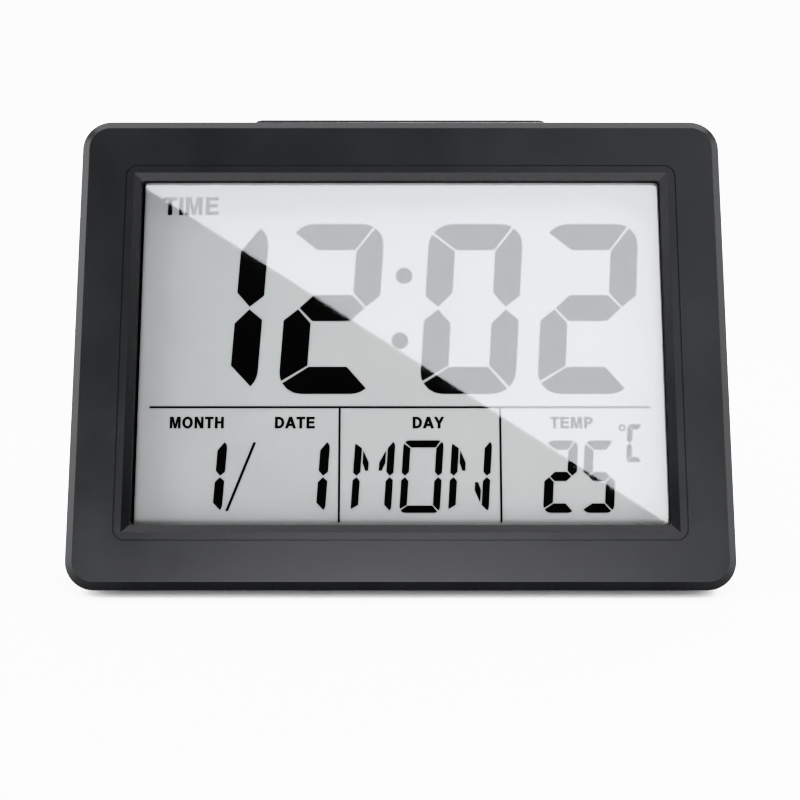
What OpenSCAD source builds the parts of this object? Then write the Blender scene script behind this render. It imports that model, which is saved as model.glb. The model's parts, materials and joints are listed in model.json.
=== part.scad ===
// Desk alarm clock with a liquid crystal display, a leaning face and a snooze bar.
// Millimetres. The face looks towards -Y, +Z is up, and the feet stand on Z = 0.
// Pieces behind the face are drawn in the face's own upright frame, and stand() leans them back.

/* [Front frame] */
// Width of the display window
window_w = 109.5; // [95:0.5:130]
// Height of the display window
window_h = 72; // [64:1:90]
// Width of the border at the window's sides
border_w = 12.75; // [12.5:0.25:18]
// Height of the border above and below the window
border_h = 13; // [12.5:0.5:18]
// Depth of the frame's rim, from the face to the seam
frame_d = 6; // [5:0.5:8]
// Corner radius of the frame
frame_r = 6; // [4:0.5:9]
// Width of the bevel round the front edge
bevel_w = 1.7; // [0.8:0.1:3]
// Depth of that bevel
bevel_d = 1; // [0.5:0.1:2]
// Radius that softens the two edges of the bevel
bevel_soft = 0.4; // [0.2:0.1:0.6]
// Thickness of the rim's wall
rim_t = 2; // [1.5:0.1:2.4]
// Thickness of the front plate
plate_t = 2.2; // [1.8:0.1:3]
// Lean of the face from upright, in degrees
lean = 15; // [10:1:20]

/* [Window moulding] */
// Distance from the window to the outer edge of the fine groove
groove_reach = 3.15; // [2.8:0.05:5]
// Width of the groove
groove_w = 0.25; // [0.2:0.05:0.6]
// Depth of the groove
groove_d = 0.2; // [0.1:0.05:0.6]
// Corner radius of the groove
groove_r = 2.4; // [1.5:0.1:4]
// Distance from the window to the start of the slope
slope_reach = 1.5; // [1:0.1:2]
// Depth of the slope
slope_d = 0.95; // [0.5:0.05:1.2]
// Height of the straight wall between the slope and the lens
reveal_d = 1.65; // [1:0.05:2.2]
// Corner radius of the window
window_r = 1; // [0.5:0.1:1.4]

/* [Display] */
// Lap of the lens behind the window's edge
lens_lap = 1.5; // [1:0.1:2]
// Thickness of the lens
lens_t = 1.5; // [1:0.1:2.5]
// Wall of the rib round the lens
rib_t = 1.5; // [1:0.1:2]
// Lap of the glass beyond the window at each side
glass_lap = 2; // [1.5:0.1:2.5]
// Lap of the glass beyond the window at the top and at the bottom
glass_rise = 1.5; // [1:0.1:2]
// Height of the contact ledge under the glass
ledge_h = 3; // [2.5:0.1:3.5]
// Thickness of each glass
glass_t = 1.1; // [0.7:0.1:1.4]
// Thickness of each polarizer film
film_t = 0.2; // [0.1:0.05:0.4]
// Thickness of the dark segments
segment_t = 0.1; // [0.05:0.05:0.2]
// Thickness of the light guide
guide_t = 2.5; // [2:0.1:3.5]
// Thickness of the white reflector sheet
sheet_t = 0.4; // [0.2:0.1:0.8]
// Wall of the display holder
holder_t = 1.5; // [1:0.1:1.8]
// Thickness of the contact strip
strip_t = 2; // [1.5:0.1:2.4]

/* [Display artwork] */
// Width of a time digit
time_w = 20; // [17:0.5:22]
// Height of a time digit
time_h = 36.6; // [30:0.2:38]
// Stroke of a time digit
time_stroke = 5.7; // [4:0.05:6]
// Height of the time digits' centre above the window's centre
time_rise = 9.5; // [7:0.1:11]
// Width of a small digit
small_w = 6.6; // [5:0.1:7.4]
// Height of the small digits and the day letters
small_h = 14.9; // [12:0.1:16]
// Stroke of a small digit
small_stroke = 1.9; // [1.2:0.05:2.2]
// Depth of the small row's centre below the window's centre
small_drop = 26; // [24:0.1:27]
// Width of a day letter
letter_w = 8.3; // [7:0.1:9]
// Stroke of a day letter
letter_stroke = 1.45; // [1:0.05:1.7]
// Sideways lean of the digits, per unit of height
slant = 0.064; // [0:0.002:0.1]
// Thickness of the dividing lines
line_t = 0.4; // [0.2:0.05:0.8]

/* [Rear case] */
// Depth of the case at its top edge, square to the face
top_depth = 24; // [22.5:0.5:30]
// Inset of the case from the frame's outline
case_inset = 0.8; // [0.4:0.1:1.2]
// Wall of the case
wall = 2; // [1.6:0.1:2.6]
// Thickness of the back panel
panel_t = 2.4; // [2:0.1:3]
// Radius of the case's back edges
back_r = 3; // [1:0.5:5]
// Length of the lip that enters the frame
lip_h = 1.5; // [1:0.1:2]
// Thickness of that lip
lip_t = 1; // [0.8:0.1:1.2]
// Height of the feet under the case
foot_h = 1; // [0.6:0.1:2]
// Radius of a foot
foot_r = 4; // [3:0.5:6]
// Depth of the recess that holds a foot
foot_seat = 0.6; // [0.4:0.1:1]

/* [Screws] */
// Radius of a case screw
screw_r = 1.25; // [1:0.05:1.5]
// Radius of a case screw's head
head_r = 2.4; // [2:0.1:2.6]
// Height of a case screw's head
head_h = 1.8; // [1.2:0.1:2.4]
// Length of a case screw's shank
screw_len = 11; // [9:0.5:11.5]
// Radius of the bosses that take the case screws
boss_r = 2.8; // [2.4:0.1:3]
// Distance from the face to the ends of those bosses
boss_len = 14; // [13:0.5:16]
// Distance from the frame's top edge to the upper screws
upper_screw_drop = 7; // [6.5:0.5:9]
// Height of the lower screws on the back panel
lower_screw_z = 8.4; // [7.5:0.1:12]
// Radius of a small screw
small_screw_r = 1; // [0.8:0.05:1.1]

/* [Snooze bar] */
// Width of the snooze bar
bar_w = 64; // [50:1:76]
// Depth of the snooze bar
bar_d = 10; // [9:0.5:11]
// Height of the bar above the case
bar_rise = 3.7; // [2.5:0.1:5]
// Gap between the seam and the bar
bar_back = 1.2; // [1:0.1:1.6]
// Corner radius of the bar
bar_r = 2; // [1.2:0.1:4]
// Travel of the bar
bar_travel = 1; // [0.6:0.1:1.2]

/* [Controls on the back] */
// Width of the control strip
controls_w = 100; // [94:1:106]
// Height of the control strip
controls_h = 16; // [13:0.5:17]
// Depth of the control strip's recess
controls_d = 0.8; // [0.4:0.1:1.2]
// Distance from the top of the back to the middle of the control strip
controls_drop = 20.5; // [19:0.5:22]
// Width of a key
key_w = 9; // [7:0.5:10]
// Height of a key
key_h = 5.5; // [5:0.5:7]
// Distance between neighbouring keys
key_pitch = 15; // [14:0.5:15.5]
// Travel of a key
key_travel = 0.6; // [0.3:0.1:0.8]
// Width of the slider's knob
knob_w = 4; // [3:0.5:5]
// Height of the slider's knob
knob_h = 3; // [2.6:0.1:4]
// Travel of the slider
slide_travel = 3; // [2:0.5:4]
// Radius of the buzzer
buzzer_r = 10; // [7:0.5:10.5]
// Length of a sound slot
slot_len = 13; // [8:0.5:15]
// Width of a sound slot
slot_w = 1.6; // [1:0.1:2]
// Distance between neighbouring sound slots
slot_pitch = 3.2; // [2.6:0.1:3.8]

/* [Batteries] */
// Diameter of a battery cell
cell_d = 14.5; // [10.5:0.5:14.5]
// Length of a battery cell
cell_l = 50.5; // [44.5:0.5:50.5]
// Space for a contact spring
spring_l = 5; // [4.6:0.1:6]
// Radius of the spring's wire
wire_r = 0.3; // [0.2:0.02:0.32]
// Thickness of the battery door
door_t = 2; // [1.6:0.1:2.4]
// Height of the battery door's lower edge
door_z = 7.5; // [6:0.5:9]
// Lap of the door over the bay at each side
door_lap = 2; // [1.6:0.1:2.6]
// Radius of the door's hinge pins
pin_r = 0.9; // [0.6:0.05:1]

/* [Hidden] */
$fn = 48;

// Clearances
fit = 0.2;
layer_gap = 0.1;
screw_fit = 0.05;
touch = 0.05;
overlap = 0.5;
past = 1;
far = 90;

// Colours
case_black = [0.14, 0.14, 0.15];
key_grey = [0.22, 0.22, 0.23];
clear_tint = [0.85, 0.9, 0.92, 0.35];
display_grey = [0.76, 0.78, 0.76];
board_green = [0.1, 0.38, 0.2];
steel_grey = [0.72, 0.73, 0.75];

// The frame and where it stands
frame_w = window_w + 2 * border_w;
frame_h = window_h + 2 * border_h;
front_reach = max((frame_h / 2 - bevel_w) * sin(lean), frame_h / 2 * sin(lean) - bevel_d * cos(lean));
back_reach = frame_h / 2 * sin(lean) + top_depth * cos(lean);
origin_y = (front_reach - back_reach) / 2;
origin_z = foot_h + frame_h / 2 * cos(lean) + frame_d * sin(lean);
back_y = origin_y + back_reach;

// Depths behind the face
lens_y = slope_d + reveal_d;
seat_y = lens_y + lens_t + layer_gap;
glass_y = seat_y + film_t;
segment_y = glass_y + glass_t;
rear_glass_y = segment_y + segment_t;
rear_film_y = rear_glass_y + glass_t;
guide_y = rear_film_y + film_t + layer_gap;
sheet_y = guide_y + guide_t + layer_gap;
board_y = sheet_y + sheet_t + layer_gap;
board_t = 1.6;
board_back = board_y + board_t;

// Widths and heights of the display's layers
lens_w = window_w + 2 * lens_lap;
lens_h = window_h + 2 * lens_lap;
glass_w = window_w + 2 * glass_lap;
glass_top = window_h / 2 + glass_rise;
ledge_low = -glass_top - ledge_h;
film_inset = 0.5;
holder_w = glass_w + 2 * (fit + holder_t);
holder_top = glass_top + fit + holder_t;
holder_low = ledge_low - fit - holder_t;
led_w = 3;
led_h = 1.5;
led_d = 2.2;
led_x = window_w / 4;
guide_top = glass_top - led_h - 2 * fit;

// Pieces on the back of the main board
parts_z = 6;
chip_x = 0;
chip_r = 9;
chip_h = 2;
crystal_x = 22;
crystal_r = 1;
crystal_len = 6;
capacitor_x = -24;
capacitor_pitch = 8;
capacitor_r = 2.5;
capacitor_len = 5;
resistor_count = 8;
resistor_pitch = 4;
resistor_z = -8;
resistor_size = [2, 1.25, 0.6];
sensor_edge = 14.2;
sensor_place = [sensor_edge - holder_w / 2, -2];
sensor_r = 1.4;
sensor_len = 4;

// Bosses, posts and screws
boss_gap = 0.3;
boss_x = holder_w / 2 + boss_gap + boss_r;
post_r = boss_r - fit;
ear_z = 12;
ear_half = 3.5;
ear_edge = 0.9;
ear_reach = boss_x + small_screw_r + ear_edge;
upper_boss_z = frame_h / 2 - upper_screw_drop;
lower_boss_z = (lower_screw_z - origin_z + back_reach * tan(lean)) * cos(lean);
boss_places = [for (x = [-boss_x, boss_x]) for (z = [lower_boss_z, upper_boss_z]) [x, z]];
post_places = [for (x = [-boss_x, boss_x]) for (z = [-ear_z, ear_z]) [x, z]];
tower_wall = 0.6;
tower_r = boss_r + tower_wall;
head_seat = 3;
small_head_r = 2 * small_screw_r;
small_head_h = 1.4;
small_screw_len = 5.5;
drive_w = 0.6;
drive_r = 1.2;

// The case's top wall and lip
case_top = frame_h / 2 - case_inset;
back_top_z = origin_z - back_reach * tan(lean) + case_top / cos(lean);
lip_gap = 0.15;
lip_out = rim_t + lip_gap;

// Snooze switch on the top edge of the main board
switch_half = 3.2;
switch_d = 4.4;
switch_h = 5;
well_fit = 0.08;
well_room = 0.3;

// Snooze bar
bar_front = frame_d + bar_back;
bar_mid = bar_front + bar_d / 2;
bar_soft = 0.6;
bar_flange = 1;
bar_flange_t = 1.2;
bar_flange_top = case_top - wall - fit;
bar_flange_low = bar_flange_top - bar_flange_t;
plunger_r = 1.5;
plunger_y = board_back + switch_d / 2;
plunger_dip = 0.2;
well_d = bar_travel + plunger_dip + well_room;
bar_pin_edge = 6;
bar_pin_x = bar_w / 2 - bar_pin_edge;
bar_pin_r = 1.6;
guide_half = 3;
guide_room = 0.3;
guide_block_top = bar_flange_low - bar_travel - guide_room;
guide_block_t = 2.6;

// Controls on the back, with depths measured inwards from the back's outer face
controls_z = back_top_z - controls_drop;
key_count = 5;
slider_space = 19;
slider_x = ((key_count - 1) * key_pitch + slider_space) / 2;
key_xs = [for (i = [0 : key_count - 1]) i * key_pitch - slider_x];
controls_r = 4;
key_r = 2.2;
key_top = 0.1;
key_soft = 0.4;
key_flange = 1;
key_flange_t = 1;
flange_q = panel_t + layer_gap;
stem_r = 1.5;
key_switch_half = 3;
key_switch_t = 3.4;
key_space = 3.2;
key_switch_q = panel_t + key_space;
key_well_room = 0.6;
key_well_d = key_travel + key_well_room;
stem_dip = 0.3;
slider_rest = slider_x - slide_travel / 2;
slider_lap = 1.5;
slider_flange_w = knob_w + 2 * (slide_travel + slider_lap);
slider_flange_h = knob_h + 2 * slider_lap;
key_board_q = key_switch_q + key_switch_t;
key_boss_r = 2.3;
key_boss_gap = 0.7;
key_boss_x = slider_x + (slide_travel + slider_flange_w) / 2 + key_boss_r + key_boss_gap;
key_board_edge = 3;
key_board_w = 2 * (key_boss_x + key_board_edge);
key_board_trim = 0.5;
key_board_h = controls_h - 2 * key_board_trim;
slide_switch_w = 9.5;
slide_switch_h = 4.6;
slide_switch_q = key_switch_q;
lever_w = 2;
lever_h = 1.6;
lever_d = 0.8;
lever_room = 0.4;
lever_tip = flange_q + key_flange_t + lever_room;
lever_fit = 0.1;
knob_groove = 0.3;

// Battery bay and door
cell_gap = 1;
bay_room = 0.8;
contact_t = 0.4;
bay_w = cell_l + spring_l + 2 * (contact_t + 2 * touch);
bay_h = 2 * cell_d + cell_gap + 2 * bay_room;
bay_d = cell_d + 2 * bay_room;
bay_wall = 1.6;
bay_z = door_z + door_lap;
door_w = bay_w + 2 * door_lap;
door_h = bay_h + 2 * door_lap;
door_gap = 0.25;
collar_t = 2.2;
collar_d = door_t + collar_t;
hinge_r = door_t / 2;
hinge_q = door_t / 2;
hinge_z = door_z + hinge_r;
pin_len = 1.5;
pin_fit = 0.05;
tab_w = 14;
tab_h = 2.4;
scoop_r = 20;
scoop_d = 1.2;
scoop_rise = 3;
grip_count = 3;
grip_w = 18;
grip_h = 0.9;
grip_d = 0.4;
grip_pitch = 2.2;
grip_drop = 5;
cell_y = back_y - door_t - bay_room - cell_d / 2;
cell_z = [for (i = [0, 1]) bay_z + bay_room + cell_d / 2 + i * (cell_d + cell_gap)];
contact_edge = 1.5;
contact_half = cell_d / 2 - contact_edge;
button_r = 2.75;
button_len = 1;
tail_w = 3;
tail_out = 2.5;
bay_front = back_y - door_t - bay_d - bay_wall;
spring_turns = 4;
spring_r = [4, 2.6];
spring_rings = 8;

// Buzzer and vents
buzzer_ring = 1.4;
buzzer_edge = 7.3;
buzzer_x = frame_w / 2 - case_inset - wall - buzzer_edge - buzzer_ring - buzzer_r;
buzzer_z = bay_z + bay_h / 2;
buzzer_gap = 2;
buzzer_lip = 1;
buzzer_rim = 1.2;
disc_t = 0.3;
element_t = 0.25;
element_r = 0.7 * buzzer_r;
slot_count = 5;

// Feet
foot_side = 14;
foot_x = frame_w / 2 - foot_side;
foot_edge = 9;
base_front = origin_y - frame_h / 2 * sin(lean) + frame_d * cos(lean);
foot_ys = [base_front + foot_edge, back_y - foot_edge];

// Wires
lead_r = 0.7;
lead_x = -26;
lead_zs = [-28, -20];
lead_pull = 4;
thin_lead_r = 0.4;
thin_lead_z = -12;
thin_lead_pull = 8;
thin_lead_pitch = 2;
thin_lead_rise = 3;
thin_lead_shift = 4;
lead_sides = 8;
lead_steps = 14;
ribbon_w = 12;
ribbon_t = 0.6;
ribbon_x = -12;
ribbon_z = -3;
ribbon_edge = 1.5;

// Display artwork, measured from the window's centre
// and stretched with the window from the size that it was drawn for
art_size = [109.5, 72];
art_gap = 0.6;
// Radius of a digit's outer corners, as a share of its stroke
bar_round = 0.85;
small_gap = 0.35;
time_digits = ["1", "2", "0", "2"];
time_left = -49.1;
time_pitch = 24.6;
colon_space = 5;
time_lefts = [for (i = [0 : 3]) time_left + i * time_pitch + (i > 1 ? colon_space : 0)];
colon_x = (time_lefts[1] + time_w + time_lefts[2]) / 2;
colon_rise = 7;
colon_r = 1.75;
month_left = -43;
date_left = -21.7;
slash_half = [2.75, 7.05];
slash_x = -33.05;
slash_t = 0.55;
day_letters = ["M", "O", "N"];
day_left = -9.85;
day_pitch = 10.05;
temp_digits = ["2", "5"];
temp_left = 29.8;
temp_pitch = 8;
unit_left = 47;
unit_rise = 6.9;
unit_w = 3.4;
unit_h = 7.9;
unit_stroke = 1.1;
degree_place = [46.1, -15.9];
degree_r = 0.72;
degree_t = 0.36;
divider_z = -11.6;
divider_x = [-52.4, 52];
column_x = [-12.7, 20.75];
column_low = -35.4;

// Which of the seven bars each digit lights: top, upper right, lower right, bottom, lower left,
// upper left, middle
function bars(digit) =
    digit == "0" ? [0, 1, 2, 3, 4, 5] :
    digit == "1" ? [1, 2] :
    digit == "2" ? [0, 1, 6, 4, 3] :
    digit == "5" ? [0, 5, 6, 2, 3] :
    digit == "C" ? [0, 5, 4, 3] :
    digit == "M" ? [1, 2, 4, 5] :
    digit == "N" ? [1, 2, 4, 5] :
    [0, 1, 2, 3, 4, 5];

// Points and outlines

function unit(v) = v / norm(v);

function turned(v, a) = [v[0] * cos(a) - v[1] * sin(a), v[0] * sin(a) + v[1] * cos(a)];

function arc(centre, r, from, to, steps) =
    [for (i = [0 : steps]) let (a = from + (to - from) * i / steps) centre + r * [cos(a), sin(a)]];

// Rounded corner at p of a path that comes from a and goes on to b
function round_corner(a, p, b, r, steps) =
    let (u = unit(a - p), v = unit(b - p), half = acos(u * v) / 2)
    let (centre = p + unit(u + v) * r / sin(half), start = p + u * r / tan(half) - centre)
    let (sweep = (u[0] * v[1] - u[1] * v[0] > 0 ? -1 : 1) * (180 - 2 * half))
    [for (i = [0 : steps]) centre + turned(start, sweep * i / steps)];

function rounded_rect(w, h, r, steps = 8) = concat(
    arc([w / 2 - r, h / 2 - r], r, 0, 90, steps),
    arc([r - w / 2, h / 2 - r], r, 90, 180, steps),
    arc([r - w / 2, r - h / 2], r, 180, 270, steps),
    arc([w / 2 - r, r - h / 2], r, 270, 360, steps));

// A point of the face's upright frame, in the standing clock
function standing(p) = [
    p[0],
    origin_y + p[2] * sin(lean) + p[1] * cos(lean),
    origin_z + p[2] * cos(lean) - p[1] * sin(lean)];

function standing_way(v) = [v[0], v[2] * sin(lean) + v[1] * cos(lean), v[2] * cos(lean) - v[1] * sin(lean)];

// Points of a smooth bend from a to d, leaving towards b and arriving from c
function bend(a, b, c, d, steps) =
    [for (i = [0 : steps]) let (t = i / steps, s = 1 - t)
        s * s * s * a + 3 * s * s * t * b + 3 * s * t * t * c + t * t * t * d];

function along(points, i) = unit(points[min(i + 1, len(points) - 1)] - points[max(i - 1, 0)]);

// Shapes that repeat

module stand() {
    translate([0, origin_y, origin_z]) rotate([-lean, 0, 0]) children();
}

// Extrudes a shape drawn in X and Z from depth y0 to depth y1
module slab(y0, y1) {
    translate([0, y1, 0]) rotate([90, 0, 0]) linear_extrude(y1 - y0) children();
}

// Extrudes a shape drawn in Y and Z along X, about X = 0
module across(width) {
    rotate([90, 0, 90]) linear_extrude(width, center = true) children();
}

// Slab whose depths are measured inwards from the back's outer face
module back_slab(q0, q1) {
    slab(back_y - q1, back_y - q0) children();
}

module rod(place, y0, y1, r) {
    translate([place[0], y0, place[1]]) rotate([-90, 0, 0]) cylinder(r = r, h = y1 - y0);
}

module back_rod(place, q0, q1, r) {
    rod(place, back_y - q1, back_y - q0, r);
}

module rounded(w, h, r) {
    polygon(rounded_rect(w, h, r));
}

module block(w, h) {
    square([w, h], center = true);
}

module frame_shape(inset) {
    rounded(frame_w - 2 * inset, frame_h - 2 * inset, max(frame_r - inset, 0.6));
}

// Plate with round corners that grows along +Y. The edge lists its inset at each depth, front to back.
module edged_plate(w, h, r, edge) {
    last = edge[len(edge) - 1][1];
    right = [for (e = edge) [w / 2 - e[0], e[1]]];
    left = [for (i = [len(edge) - 1 : -1 : 0]) [edge[i][0] - w / 2, edge[i][1]]];
    upper = [for (e = edge) [e[1], h / 2 - e[0]]];
    lower = [for (i = [len(edge) - 1 : -1 : 0]) [edge[i][1], edge[i][0] - h / 2]];
    corner = concat([[0, edge[0][1]]], [for (e = edge) [r - e[0], e[1]]], [[0, last]]);
    linear_extrude(h - 2 * r, center = true) polygon(concat(right, left));
    across(w - 2 * r) polygon(concat(upper, lower));
    for (x = [r - w / 2, w / 2 - r])
        for (z = [r - h / 2, h / 2 - r])
            translate([x, 0, z]) rotate([-90, 0, 0]) rotate_extrude() polygon(corner);
}

// Hole with four flat slanted sides, from w0 by h0 at depth y0 to w1 by h1 at depth y1
module slanted_hole(w0, h0, y0, w1, h1, y1) {
    intersection() {
        linear_extrude(2 * h0, center = true)
            polygon([[-w0 / 2, y0], [w0 / 2, y0], [w1 / 2, y1], [-w1 / 2, y1]]);
        across(2 * w0)
            polygon([[y0, -h0 / 2], [y0, h0 / 2], [y1, h1 / 2], [y1, -h1 / 2]]);
    }
}

// Tube through points, with a side direction at each of them
module tube(points, sides_to, r, sides) {
    rings = [for (i = [0 : len(points) - 1])
        let (t = along(points, i), n = unit(sides_to[i] - (sides_to[i] * t) * t), b = cross(t, n))
        for (k = [0 : sides - 1]) points[i] + r * (cos(360 * k / sides) * n + sin(360 * k / sides) * b)];
    last = (len(points) - 1) * sides;
    skin = [for (i = [0 : len(points) - 2]) for (k = [0 : sides - 1])
        let (a = i * sides + k, b = i * sides + (k + 1) % sides)
        each [[a, b + sides, b], [a, a + sides, b + sides]]];
    caps = [for (k = [1 : sides - 2]) each [[0, k, k + 1], [last, last + k + 1, last + k]]];
    polyhedron(rings, concat(skin, caps));
}

module lead(a, way_a, d, way_d, r) {
    points = bend(a, a + way_a, d + way_d, d, lead_steps);
    tube(points, [for (p = points) [1, 0, 0]], r, lead_sides);
}

module cross_screw(place, y0, y1, shank_r, shank_len, top_r, top_h) {
    difference() {
        union() {
            rod(place, y0 - shank_len, y0, shank_r);
            rod(place, y0, y1, top_r);
        }
        for (a = [0, 90])
            translate([place[0], y1, place[1]]) rotate([0, a, 0])
                cube([2 * drive_r * shank_r, top_h, drive_w], center = true);
    }
}

// Outer shape of the case, drawn in by its skin at the sides and by its panel at the back
module case_block(skin, panel) {
    half = frame_w / 2 - case_inset - skin;
    back = back_y - panel;
    soft = max(back_r - skin, 0.5);
    base = foot_h + skin;
    slope = [cos(lean), -sin(lean)];
    top = [origin_y, origin_z] + (case_top - skin) * [sin(lean), cos(lean)];
    corner = top + slope * (back - top[0]) / slope[0];
    fore = top - far * slope;
    plan = concat(
        [[half, -far], [-half, -far]],
        round_corner([-half, -far], [-half, back], [half, back], soft, 6),
        round_corner([-half, back], [half, back], [half, -far], soft, 6));
    side = concat(
        [[fore[0], base]],
        round_corner([fore[0], base], [back, base], corner, soft, 6),
        round_corner([back, base], corner, fore, soft, 6),
        [fore]);
    intersection() {
        stand() slab(frame_d - (skin > 0 ? overlap : 0), far) frame_shape(case_inset + skin);
        linear_extrude(3 * far) polygon(plan);
        across(2 * frame_w) polygon(side);
    }
}

// The front

frame_edge = concat(
    round_corner([bevel_w + bevel_w, 0], [bevel_w, 0], [0, bevel_d], bevel_soft, 3),
    round_corner([bevel_w, 0], [0, bevel_d], [0, frame_d], bevel_soft, 3),
    [[0, frame_d]]);

module window_cuts() {
    lead_in = slope_reach / slope_d * overlap;
    groove_in = groove_reach - groove_w;
    slab(-past, groove_d) difference() {
        rounded(window_w + 2 * groove_reach, window_h + 2 * groove_reach, groove_r);
        rounded(window_w + 2 * groove_in, window_h + 2 * groove_in, groove_r - groove_w);
    }
    slanted_hole(
        window_w + 2 * (slope_reach + lead_in), window_h + 2 * (slope_reach + lead_in), -overlap,
        window_w, window_h, slope_d);
    slab(0, lens_y + overlap) rounded(window_w, window_h, window_r);
    slab(lens_y, frame_d + lens_t) block(lens_w + 2 * fit, lens_h + 2 * fit);
}

module front_frame() {
    color(case_black) stand() difference() {
        union() {
            difference() {
                edged_plate(frame_w, frame_h, frame_r, frame_edge);
                slab(plate_t, frame_d + past) frame_shape(rim_t);
            }
            slab(plate_t - overlap, seat_y) block(lens_w + 2 * (fit + rib_t), lens_h + 2 * (fit + rib_t));
            for (p = boss_places) rod(p, plate_t - overlap, boss_len, boss_r);
            for (p = post_places) rod(p, plate_t - overlap, board_y, post_r);
        }
        window_cuts();
        for (p = boss_places)
            rod(p, boss_len + head_seat - screw_len - past, boss_len + past, screw_r + screw_fit);
        for (p = post_places)
            rod(p, board_back - small_screw_len - overlap, board_y + past, small_screw_r + screw_fit);
    }
}

module display_lens() {
    color(clear_tint) stand() slab(lens_y, lens_y + lens_t) block(lens_w, lens_h);
}

// The display

module front_polarizer() {
    color([0.8, 0.82, 0.8, 0.4]) stand() slab(seat_y, glass_y)
        block(glass_w - 2 * film_inset, 2 * (glass_top - film_inset));
}

module front_glass() {
    color(clear_tint) stand() slab(glass_y, segment_y)
        translate([-glass_w / 2, ledge_low]) square([glass_w, glass_top - ledge_low]);
}

module rear_glass() {
    color(display_grey) stand() slab(rear_glass_y, rear_film_y) block(glass_w, 2 * glass_top);
}

module rear_polarizer() {
    color(display_grey) stand() slab(rear_film_y, rear_film_y + film_t)
        block(glass_w - 2 * film_inset, 2 * (glass_top - film_inset));
}

// Where the mitre between two bars meets each round corner, in degrees round that corner
mitre_top_right = 57;
mitre_top_left = 146;
mitre_low_left = 209;
mitre_low_right = 314;

// Outline of one bar of a digit, w by h about its centre, before it leans
function bar_outline(i, w, h, s, g, r) =
    let (x = w / 2, z = h / 2, turn = g / r * 180 / PI / 2, tip = s / 2, cut = g / 2, in = 0.53 * s)
    let (tr = [x - r, z - r], tl = [r - x, z - r], bl = [r - x, r - z], br = [x - r, r - z])
    i == 0 ? concat(arc(tr, r, mitre_top_right + turn, 90, 3), arc(tl, r, 90, mitre_top_left - turn, 3),
        [[s + cut - x, z - s], [x - s - cut, z - s]]) :
    i == 1 ? concat([[x - s, z - s - cut]], [[x - s, in + cut]], [[x - tip, cut]], [[x, 0.42 * s + cut]],
        arc(tr, r, 0, mitre_top_right - turn, 4)) :
    i == 2 ? concat([[x - s, s + cut - z]], arc(br, r, mitre_low_right + turn, 360, 3),
        [[x, -0.4 * s - cut], [x - tip, -cut], [x - s, -in - cut]]) :
    i == 3 ? concat([[x - s - cut, s - z], [s + cut - x, s - z]], arc(bl, r, mitre_low_left + turn, 270, 3),
        arc(br, r, 270, mitre_low_right - turn, 3)) :
    i == 4 ? concat(arc(bl, r, 180, mitre_low_left - turn, 3),
        [[s - x, s + cut - z], [s - x, -in - cut], [tip - x, -cut], [-x, -0.42 * s - cut]]) :
    i == 5 ? concat(arc(tl, r, mitre_top_left + turn, 180, 3),
        [[-x, 0.4 * s + cut], [tip - x, cut], [s - x, in + cut], [s - x, z - s - cut]]) :
    [[tip + cut - x, 0], [s + cut - x, 0.49 * s], [x - s - cut, 0.49 * s], [x - tip - cut, 0],
        [x - s - cut, -0.49 * s], [s + cut - x, -0.49 * s]];

// The day letters' short slanted strokes, which point from an upper corner to the middle
function stroke_outline(w, h, s, g) =
    let (a = s + g - w / 2, z = h / 2)
    [[a, z - 0.14 * h], [a + 0.15 * w, z - 0.31 * h], [a + 0.15 * w, z - 0.42 * h],
        [a + 0.08 * w, z - 0.42 * h], [a, z - 0.31 * h]];

function strokes(letter) =
    letter == "M" ? [[1, 1], [-1, 1]] :
    letter == "N" ? [[1, 1], [-1, -1]] :
    [];

// A place of the artwork on this window's glass
function on_glass(p) = [p[0] * window_w / art_size[0], p[1] * window_h / art_size[1]];

// Leans an outline sideways and puts its cell's left edge and middle in place
function leaned(points, left, middle, w) =
    [for (p = points) on_glass([left + w / 2 + p[0] + slant * p[1], middle + p[1]])];

module glyph(name, left, middle, w, h, s, g) {
    r = bar_round * s;
    for (i = bars(name)) polygon(leaned(bar_outline(i, w, h, s, g, r), left, middle, w));
    for (f = strokes(name))
        polygon(leaned([for (p = stroke_outline(w, h, s, g)) [f[0] * p[0], f[1] * p[1]]], left, middle, w));
}

// Straight line of the artwork from a to b, with its thickness along X or Z
module line_between(a, b, side) {
    polygon([for (p = [a - side, a + side, b + side, b - side]) on_glass(p)]);
}

module dividers() {
    line_between([divider_x[0], divider_z], [divider_x[1], divider_z], [0, line_t / 2]);
    for (x = column_x) line_between([x, divider_z], [x, column_low], [line_t / 2, 0]);
}

module small_digit(name, left) {
    glyph(name, left, -small_drop, small_w, small_h, small_stroke, small_gap);
}

module day_letter(name, left) {
    glyph(name, left, -small_drop, letter_w, small_h, letter_stroke, small_gap);
}

module time_digit(name, left) {
    glyph(name, left, time_rise, time_w, time_h, time_stroke, art_gap);
}

module display_segments() {
    middle = [slash_x, -small_drop];
    color([0.05, 0.05, 0.05]) stand() slab(segment_y, rear_glass_y) {
        for (i = [0 : 3]) time_digit(time_digits[i], time_lefts[i]);
        for (rise = [-colon_rise, colon_rise])
            translate(on_glass([colon_x + slant * rise, time_rise + rise])) circle(r = colon_r);
        dividers();
        for (x = [month_left, date_left]) small_digit("1", x);
        line_between(middle - slash_half, middle + slash_half, [slash_t / 2, 0]);
        for (i = [0 : 2]) day_letter(day_letters[i], day_left + i * day_pitch);
        for (i = [0 : 1]) small_digit(temp_digits[i], temp_left + i * temp_pitch);
        glyph("C", unit_left, unit_rise - small_drop, unit_w, unit_h, unit_stroke, small_gap / 2);
        translate(on_glass(degree_place)) difference() {
            circle(r = degree_r);
            circle(r = degree_r - degree_t);
        }
    }
}

// Backlight, holder and main board

module light_guide() {
    color(clear_tint) stand() slab(guide_y, guide_y + guide_t)
        translate([-glass_w / 2, -glass_top]) square([glass_w, guide_top + glass_top]);
}

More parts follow.
